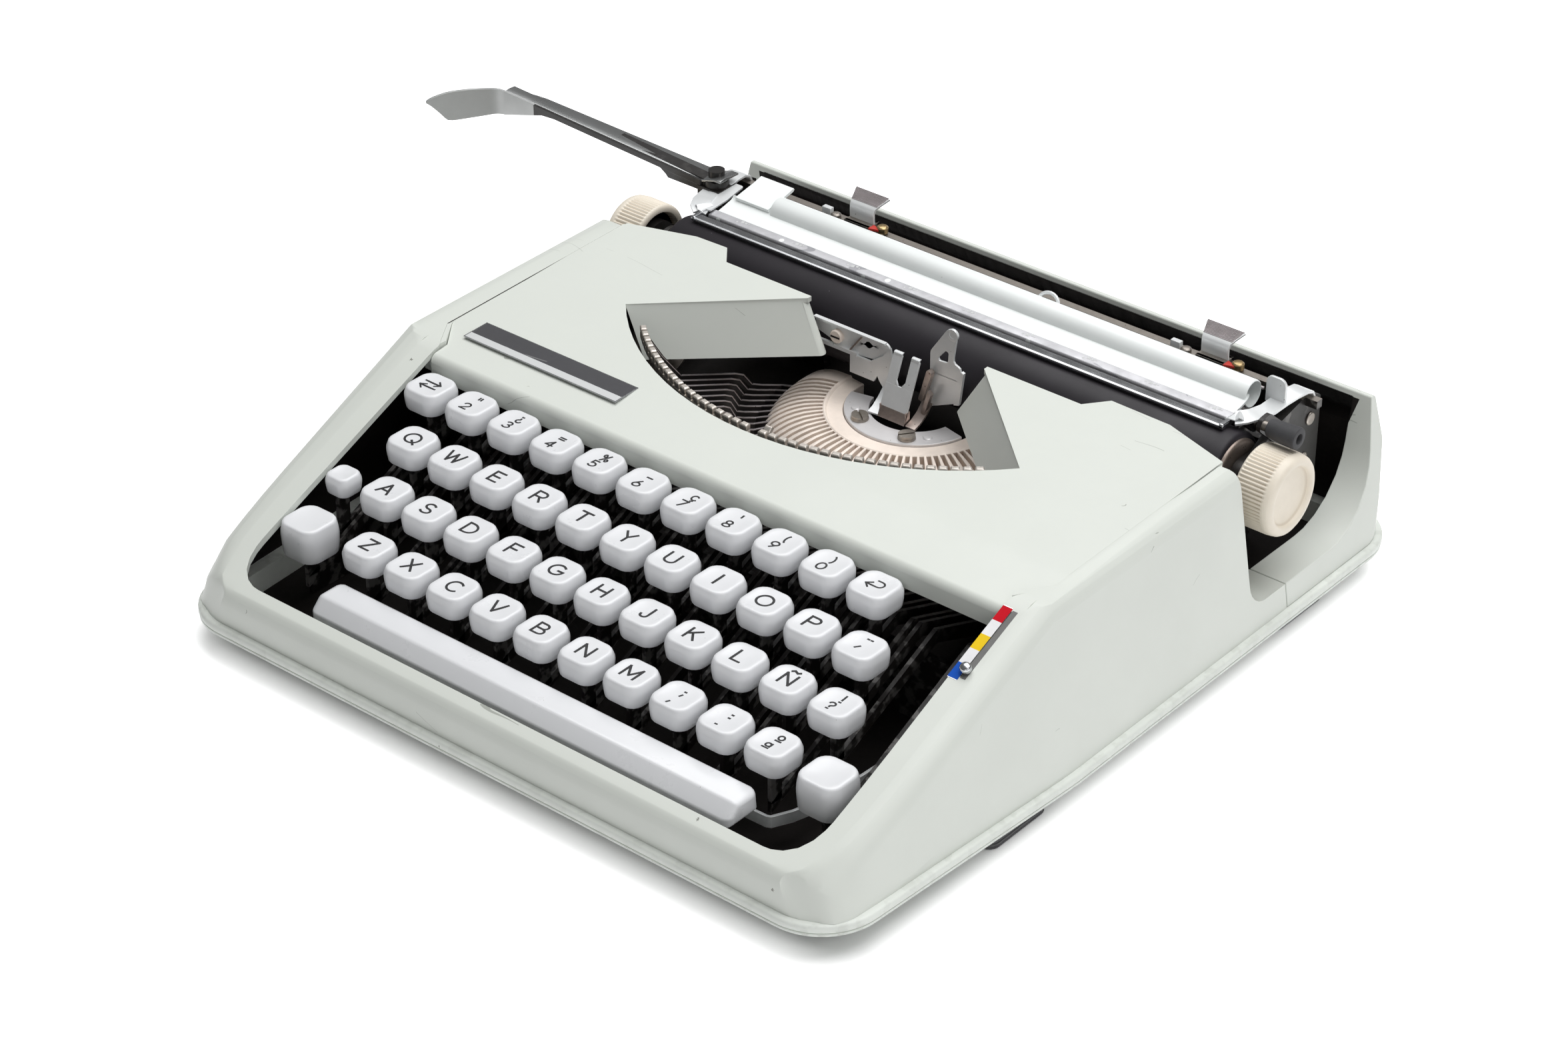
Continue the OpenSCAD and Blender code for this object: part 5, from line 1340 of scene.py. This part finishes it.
# crescent plate with a slotted screw and a rivet on each side
swept(segment, crescent, -78, 78, 60, 2)
half_turn = [math.pi * i / 10 for i in range(11)]
for s, turn in ((-1, math.radians(-38)), (1, math.radians(52))):
    x, y, z = basket(20.4, 30 * s, 0)
    segment.turned([(z - 0.2, 3.2), (z + 0.2, 3.2), (z + 0.9, 3.05), (z + 0.9, 0.1)], across("z", (x, y, 0)), 32, 3)
    for side in (-1, 1):
        lobe = [(2.95 * math.cos(a) * side, 0.34 * side + 2.6 * math.sin(a) * side) for a in half_turn]
        lobe = [(x + px * math.cos(turn) - py * math.sin(turn), y + px * math.sin(turn) + py * math.cos(turn))
                for px, py in lobe]
        segment.plate(lobe, lambda p, t, z=z: (p[0], p[1], z + 0.85 + 0.9 * t), 3)
    x, y, z = basket(20.4, 50 * s, 0)
    rivet = [(z - 0.1, 1.7), (z + 0.15, 1.65), (z + 0.45, 1.3), (z + 0.55, 0.1)]
    segment.turned(rivet, across("z", (x, y, 0)), 24, 2)
piece("segment_sawn", segment, [bronze, painted_shade_black, plate_white, screw_steel], "chassis", ["type_segment"],
      hard_angle=32)
print("teeth", SLOTS - 1)

# %% [markdown]
# A typebar is a thin stamped bar with a crank in it, and a type block is pressed on its end. At rest the
# blocks stand in a curved row just inside the cover's edge. The middle bar, which the Y key throws, has a
# hinge of its own and so is a piece by itself.

# %% Typebars and their types
TIP_R, TIP_Z, TIP_X, BASKET_Y, TIP_STEP = 109.6, 55.8, -3.6, 243.3, 2.05


def type_block(form, at, turn, finish_no):
    c, s = math.cos(turn), math.sin(turn)
    layers = [(-3.4, 1.0, 0.75), (-3.0, 1.4, 1.05), (-1.2, 1.5, 1.1), (-0.9, 1.2, 0.9), (-0.5, 1.2, 0.9),
              (-0.2, 1.5, 1.1), (1.2, 1.5, 1.1), (1.6, 1.1, 0.8)]
    rings = []
    for z, w, d in layers:
        rings.append([(at[0] + x * c - y * s, at[1] + x * s + y * c, at[2] + z) for x, y in oblong(-w, w, -d, d)])
    form.loft(rings, finish_no)


# share of the way from heel to tip, and the bar's height there
bar_line = [(0.14, 20.4), (0.22, 22.0), (0.28, 26.6), (0.34, 28.0), (0.74, 33.4), (0.88, 43.5), (1.0, TIP_Z - 1.4)]
bars = Form()
for k in range(SLOTS):
    if k == MIDDLE_SLOT:
        continue
    heel = Vector(basket(55.4, (k - MIDDLE_SLOT) * SLOT_STEP, -9.8))
    root = Vector(basket(43.0, (k - MIDDLE_SLOT) * SLOT_STEP, -7.0))
    g = math.radians((k - MIDDLE_SLOT) * TIP_STEP)
    tip = Vector((TIP_X + TIP_R * math.sin(g), BASKET_Y - TIP_R * math.cos(g), TIP_Z))
    path = [root, heel] + [(*heel.lerp(tip, share).xy, z) for share, z in bar_line]
    # Each bar is black below as painted shade, with a strip of rose steel on top as its painted lit edge.
    along_path(bars, path, flat_section(0.75, 2.0), 2)
    along_path(bars, [Vector(p) + Vector((0, 0, 0.95)) for p in path], flat_section(0.85, 0.4), 0)
    type_block(bars, tip, g, 1)
piece("typebars_stamped", bars, [rose_steel, type_metal, black_steel], "chassis", ["typebars"], edge=0.1)

bar_y = Form()
BAR_PIN = Vector((PRINT.x, 173.3, 22.0))
lift = math.radians(40.39)
out_way, up_way = Vector((0, -math.cos(lift), math.sin(lift))), Vector((0, math.sin(lift), math.cos(lift)))
path = [BAR_PIN - out_way * 2, BAR_PIN + out_way * 20, BAR_PIN + out_way * 47.7]
along_path(bar_y, path, flat_section(0.95, 2.3), 0, up=up_way)
block = oblong(-1.4, 1.4, -2.4, 3.8)
rings = [[BAR_PIN + out_way * a + Vector((x * w, 0, 0)) + up_way * (z * w) for x, z in block]
         for a, w in ((47.5, 1.0), (48.8, 1.0), (49.2, 0.75))]
bar_y.loft(rings, 1)
piece("typebar_y_stamped", bar_y, [bar_steel, type_metal], "typebar_y", ["typebar_y"], edge=0.12)
print("typebars", SLOTS)

# %% [markdown]
# The type guide stands at the printing point. Left is the line gauge, a bright plate with a hole and a
# bronze screw, whose leg comes down to the crescent; right is the card pointer with its round and its
# three-cornered hole. Plates with holes are made as strips between the outer edge and the hole's edge.

# %% Type guide


def holed(form, outer, hole, lift_to, finish_no):
    """A plate between two outlines: both are cut into n even steps and joined where they lie nearest."""
    n = 48

    def even(points):
        sides = [(Vector(points[i]), Vector(points[(i + 1) % len(points)])) for i in range(len(points))]
        total = sum((b - a).length for a, b in sides)
        made = []
        for k in range(n):
            want = total * k / n
            for a, b in sides:
                size = (b - a).length
                if want <= size + 1e-9:
                    made.append(a.lerp(b, want / size if size else 0))
                    break
                want -= size
        return made

    a, b = even(outer), even(hole)
    shift = min(range(n), key=lambda s: sum((a[i] - b[(i + s) % n]).length for i in range(n)))
    b = [b[(i + shift) % n] for i in range(n)]
    form.loft([[lift_to(p, t) for p in edge] for edge, t in ((a, 0), (a, 1), (b, 1), (b, 0))], finish_no, loop=True)


def circle(cx, cz, r, n=24):
    return [(cx + r * math.cos(2 * math.pi * i / n), cz + r * math.sin(2 * math.pi * i / n)) for i in range(n)]


def upright(y0, y1):
    return lambda p, t: (p[0], y0 + (y1 - y0) * t, p[1])


guide = Form()
main_sheet = upright(213.6, 214.4)
# gauge: upper plate with its hole, lower step and the leg
gauge = [(-29, 41.2), (-29, 50.6), (-12, 50.6), (-10.4, 49.4), (-10.2, 46.6), (-13, 44.2), (-17.5, 42.6)]
holed(guide, gauge, circle(-19.6, 47.4, 1.3), main_sheet, 0)
guide.plate([(-43, 46.0), (-43, 50.6), (-29, 50.6), (-29, 41.2), (-34, 43.4)], main_sheet, 0)
guide.plate([(-43.4, 50.2), (-43.4, 50.9), (-12, 50.9), (-12, 50.2)], upright(212.6, 214.2), 0)
guide.plate([(-28.6, 41.8), (-28.2, 41.4), (-21.6, 50.2), (-22.2, 50.4)], upright(212.9, 213.7), 3)
guide.plate([(-42, 41.6), (-42, 43.0), (-24, 43.0), (-24, 41.6)], upright(212.4, 213.6), 0)
guide.plate([(-27, 34.6), (-27, 42.0), (-15.6, 42.0), (-14.2, 38.6), (-16.4, 34.6)], upright(212.6, 213.4), 0)
inner_wing = [(-14, 36), (-17.4, 42.6), (-12.6, 46), (-9.2, 50.2), (-8.6, 47), (-9.0, 33), (-11.6, 33)]
guide.plate(inner_wing, upright(212.4, 213.2), 0)
leg = [(-10.2, 213.0, 34.2), (-10.0, 210.0, 31.6), (-9.6, 206.4, 29.6), (-9.4, 203.4, 28.7)]
along_path(guide, leg, flat_section(4.0, 0.8), 0)
guide.turned([(211.8, 2.2), (212.2, 2.5), (213.7, 2.5)], across("y", (-33, 0, 46.4)), 28, 1)
# A near-black strip across the screw head stands in for its slot: painted shade.
guide.box((-34.9, 211.6, 46.1), (-31.1, 211.9, 46.7), 2)
# pointer: finger with a three-cornered hole, ring at its tip, right plate
finger = rounded([(7.0, 47.0), (20.6, 47.0), (19.8, 52.4), (16.6, 53.4), (18.1, 65.0), (14.4, 66.2), (7.0, 55.0)],
                 [1, 1, 1.4, 1.6, 1.9, 1.9, 2.4], 5)
three_cornered = rounded([(9.4, 52.2), (14.5, 52.6), (14.9, 59.0)], [0.8, 1.0, 0.9], 5)
holed(guide, finger, three_cornered, main_sheet, 0)
holed(guide, circle(16.1, 64.0, 2.2), circle(16.1, 64.1, 1.2), upright(213.5, 214.5), 0)
right_plate = [(8.0, 33.6), (18.2, 38.2), (20.6, 47.2), (6.6, 47.2), (5.6, 40.0)]
guide.plate(rounded(right_plate, [.5, 1, .6, .6, 1], 4), main_sheet, 0)
guide.plate([(18.6, 47.0), (20.6, 51.6), (21.6, 51.2), (20.0, 38.4), (17.8, 37.8)], upright(213.0, 214.2), 0)
dark_wing = rounded([(4.4, 36.2), (6.2, 35.8), (10.0, 48.0), (8.0, 49.4)], [.5, .5, .8, .8], 3)
guide.plate(dark_wing, upright(210.6, 212.6), 3)
guide.plate([(6.6, 32.4), (8.0, 31.8), (10.6, 40.2), (9.4, 41.6)], upright(209.4, 211.2), 3)
leg = [(6.8, 213.0, 35.0), (6.8, 210.0, 31.8), (6.8, 206.4, 29.6), (6.8, 203.4, 28.7)]
along_path(guide, leg, flat_section(4.0, 0.8), 3)
piece("type_guide_pressed", guide, [bright_sheet_painted_reflection, bronze, painted_shade_black, bar_steel], "chassis", ["type_guide"],
      edge=0.1)
print("guide points", len(guide.points))

# %% [markdown]
# The vibrator lifts the ribbon over the printing point. It is a bent plate with a long slot down the
# middle, through which the type strikes; the lower part is bent to stand nearly upright and is given a
# darker steel as painted shade.

# %% Ribbon vibrator
vibrator = Form()
front_line = [(203.0, 28.8), (203.2, 29.6), (204.4, 32.8), (206.8, 38.8), (209.0, 44.4), (211.2, 50.0)]


def strip(x0, x1, line, finish_no):
    rings = [[(x0, y, z), (x1, y, z), (x1, y + 0.75, z - 0.2), (x0, y + 0.75, z - 0.2)] for y, z in line]
    vibrator.loft(rings, finish_no)


SLOT_FOOT = (207.4, 40.4)
top_lip = [(211.0, 49.7), (211.2, 50.6), (211.9, 51.0)]
# The lower, upright part takes the darker steel as painted shade.
strip(-7.0, 4.4, front_line[:3], 1)
strip(-7.0, 4.4, [front_line[2], (206.0, 36.8), SLOT_FOOT], 0)
strip(-7.0, -3.1, [SLOT_FOOT] + front_line[4:], 0)
strip(0.7, 4.4, [SLOT_FOOT] + front_line[4:], 0)
for s, a in ((-1, -3.1), (1, 0.7)):
    web = [(a, *SLOT_FOOT), (a - s * 1.2, 207.42, 40.45), (a, 208.1, 42.2)]
    vibrator.loft([web, [(x, y + 0.7, z - 0.2) for x, y, z in web]], 0)
strip(-6.8, -3.2, top_lip, 0)
strip(0.8, 4.2, top_lip, 0)
for x in (-7.0, 4.0):
    vibrator.box((x, 203.9, 29.0), (x + 0.4, 206.4, 33.4), 1)
piece("vibrator_bent", vibrator, [bright_sheet_painted_reflection, bar_steel], "ribbon_vibrator", ["ribbon_vibrator"],
      edge=0.1)
print("vibrator points", len(vibrator.points))

# %% [markdown]
# Inside the body, mostly in the dark, are the frame, the rail, the ribbon spools, the spring drum and
# the escapement wheel. Their solids have their true form already and take the skin with a finish each.

# %% Frame, rail, spools, drum and wheel


def all_alike(c, n):
    return 0


def rail_top(c, n):
    return 1 if n.z > 0.7 and c.z > 20 else 0


skin("main_frame", [black_steel], all_alike, 0.2)
skin("carriage_rail", [black_steel, dull_steel], rail_top, 0.2)
skin("spool_left", [dull_steel], all_alike, 0.25)
skin("spool_right", [dull_steel], all_alike, 0.25)
skin("mainspring_drum", [dull_steel], all_alike, 0.25)
skin("escapement_wheel", [brass], all_alike, 0.15)
print("inner pieces dressed")

# %% [markdown]
# ## Trim
# The feet are ribbed rubber blocks. On the cover lies a thin bare foil plate: a dark band above a light
# one inside a fine silver border. Beside the ribbon colour slot runs a strip of five fields for
# the lever's settings.

# %% Feet, foil plate, colour strip and colour lever
FOOT_HALF_W, FOOT_HALF_D = 9, 15
foot_outline = rounded(oblong(-FOOT_HALF_W, FOOT_HALF_W, -FOOT_HALF_D, FOOT_HALF_D), [4] * 4, 6)
foot_ribs = [(-9.6, 0.6), (-10.0, 0.5), (-10.4, 0.1), (-10.7, 0.0), (-11.3, 0.0), (-11.5, 0.35), (-11.8, 0.35),
             (-12.0, 0.0), (-12.6, 0.0), (-12.8, 0.35), (-13.1, 0.35), (-13.3, 0.05), (-13.7, 0.1), (-14.0, 0.6)]
feet = Form()
for x in (-129.8, 129.8):
    for y in (92.0, 248.0):
        feet.loft([[(x + px * (1 - inset / FOOT_HALF_W), y + py * (1 - inset / FOOT_HALF_D), z)
                    for px, py in foot_outline] for z, inset in foot_ribs], 0)
piece("feet_moulded", feet, [grey_rubber], "chassis", ["rubber_feet"], hard_angle=60)


foil = Form()


def on_deck(x0, x1, y0, y1, low, high, finish_no):
    foil.plate(oblong(x0, x1, y0, y1), lambda p, t: (p[0], p[1], deck_z(p[1]) + low + (high - low) * t), finish_no)


on_deck(-117.8, -48.6, 116.4, 128.0, 0.02, 0.16, 2)
on_deck(-117.4, -49.0, 116.8, 120.0, 0.1, 0.2, 1)
on_deck(-117.2, -49.2, 120.3, 127.6, 0.1, 0.2, 0)
piece("foil_plate", foil, [plate_dark, plate_light, bright], "ribbon_cover", [])

colours = Form()


def on_slope(x0, x1, y0, y1, low, high, finish_no):
    def lifted(p, t):
        rise = low + (high - low) * t
        return (p[0], p[1] - rise * 0.41, frame_z(p[1]) + rise * 0.91)
    colours.plate(oblong(x0, x1, y0, y1), lifted, finish_no)


FIELD_Y, FIELD_STEP = 76.6, 5.44
on_slope(120.65, 124.1, 76.4, 104.0, 0.02, 0.12, 0)
for i, paint in enumerate((3, 1, 2, 1, 4)):
    on_slope(120.6, 124.2, FIELD_Y + i * FIELD_STEP, FIELD_Y + (i + 1) * FIELD_STEP, 0.1, 0.18, paint)
# A flat dark plate over the slot is painted shade of the opening.
on_slope(124.5, 126.4, 77.6, 103.4, 0.01, 0.05, 5)
piece("colour_strip", colours, [bright, strip_white, strip_yellow, strip_blue, strip_red, slot_painted_shade], "chassis", [])

setting = Form()
tilt = math.atan(SLOPE)
up_slope, normal = Vector((0, math.cos(tilt), math.sin(tilt))), Vector((0, -math.sin(tilt), math.cos(tilt)))
seat = Vector((124.9, 80.4, frame_z(80.4)))


def on_seat(s, a, b):
    return tuple(seat + normal * s + Vector((a, 0, 0)) + up_slope * b)


setting.turned([(-5.2, 0.75), (0.6, 0.75)], on_seat, 16, 0)
setting.turned([(0.5, 1.2), (0.6, 1.75), (0.9, 1.9), (2.0, 1.9), (2.6, 1.6), (2.9, 0.9), (3.0, 0.1)], on_seat, 28, 0)
setting.turned([(-4.8, 2.2), (-4.6, 2.4), (-3.6, 2.4), (-3.4, 2.2)], on_seat, 16, 1)
piece("colour_lever_pin", setting, [bright, dull_steel], "colour_lever", ["colour_lever"])
print("trim points", len(feet.points), len(foil.points), len(colours.points), len(setting.points))

# %% [markdown]
# Between cover and body runs a seam. On the real machine the cover drops into a painted step, so the
# seam is dark only where the parts stand a little apart. A painted strip lies in that step here, deeper
# where the seam shows dark. In the front right corner of the key well a bright bent strip shows, part of
# the shift linkage.

# %% Seam steps and shift linkage


def seam_drop(s, y):
    """Depth of the strip below the deck: on the right it drops at the rear, on the left along the middle."""
    if s > 0:
        return 0.85 if y > 185 else 0.03
    return 0.35 if 118 < y <= 175 else 0.03


seam = Form()
rows = [(y, deck_z(y) if y > KNEE_Y else slope_z(y)) for y in (104, 107.5, 120, 140, 160, 180, 200, 209.5)]
corner = [(120.7, 107.9), (128.0, 119.2), (127.5, 120.9), (120.4, 110.6)]
for s in (-1, 1):
    x0, x1 = sorted((s * 127.62, s * 128.18))
    tops = [(y, z - seam_drop(s, y)) for y, z in rows]
    seam.loft([[(x0, y, z), (x1, y, z), (x1, y, z - 1.6), (x0, y, z - 1.6)] for y, z in tops], 0)
for s in (-1, 1):
    seam.plate(corner if s > 0 else corner[::-1],
               lambda p, t, s=s: (s * p[0], p[1], deck_z(p[1]) - 0.06 - 3 * (1 - t)), 0)
piece("seam_steps", seam, [pale_paint], "chassis", [])
linkage = Form()
run = [(80.5, 29.2, 2.2), (89.4, 29.4, 2.2), (90.6, 30.0, 2.2), (93.8, 36.4, 2.2), (96.0, 44.0, 2.2),
       (98.4, 64.0, 2.2), (99.0, 76.0, 2.2)]
along_path(linkage, run, flat_section(1.1, 4.2), 0)
piece("shift_wire", linkage, [bright_sheet_painted_reflection], "chassis", [], edge=0.15)
print("seam points", len(seam.points))
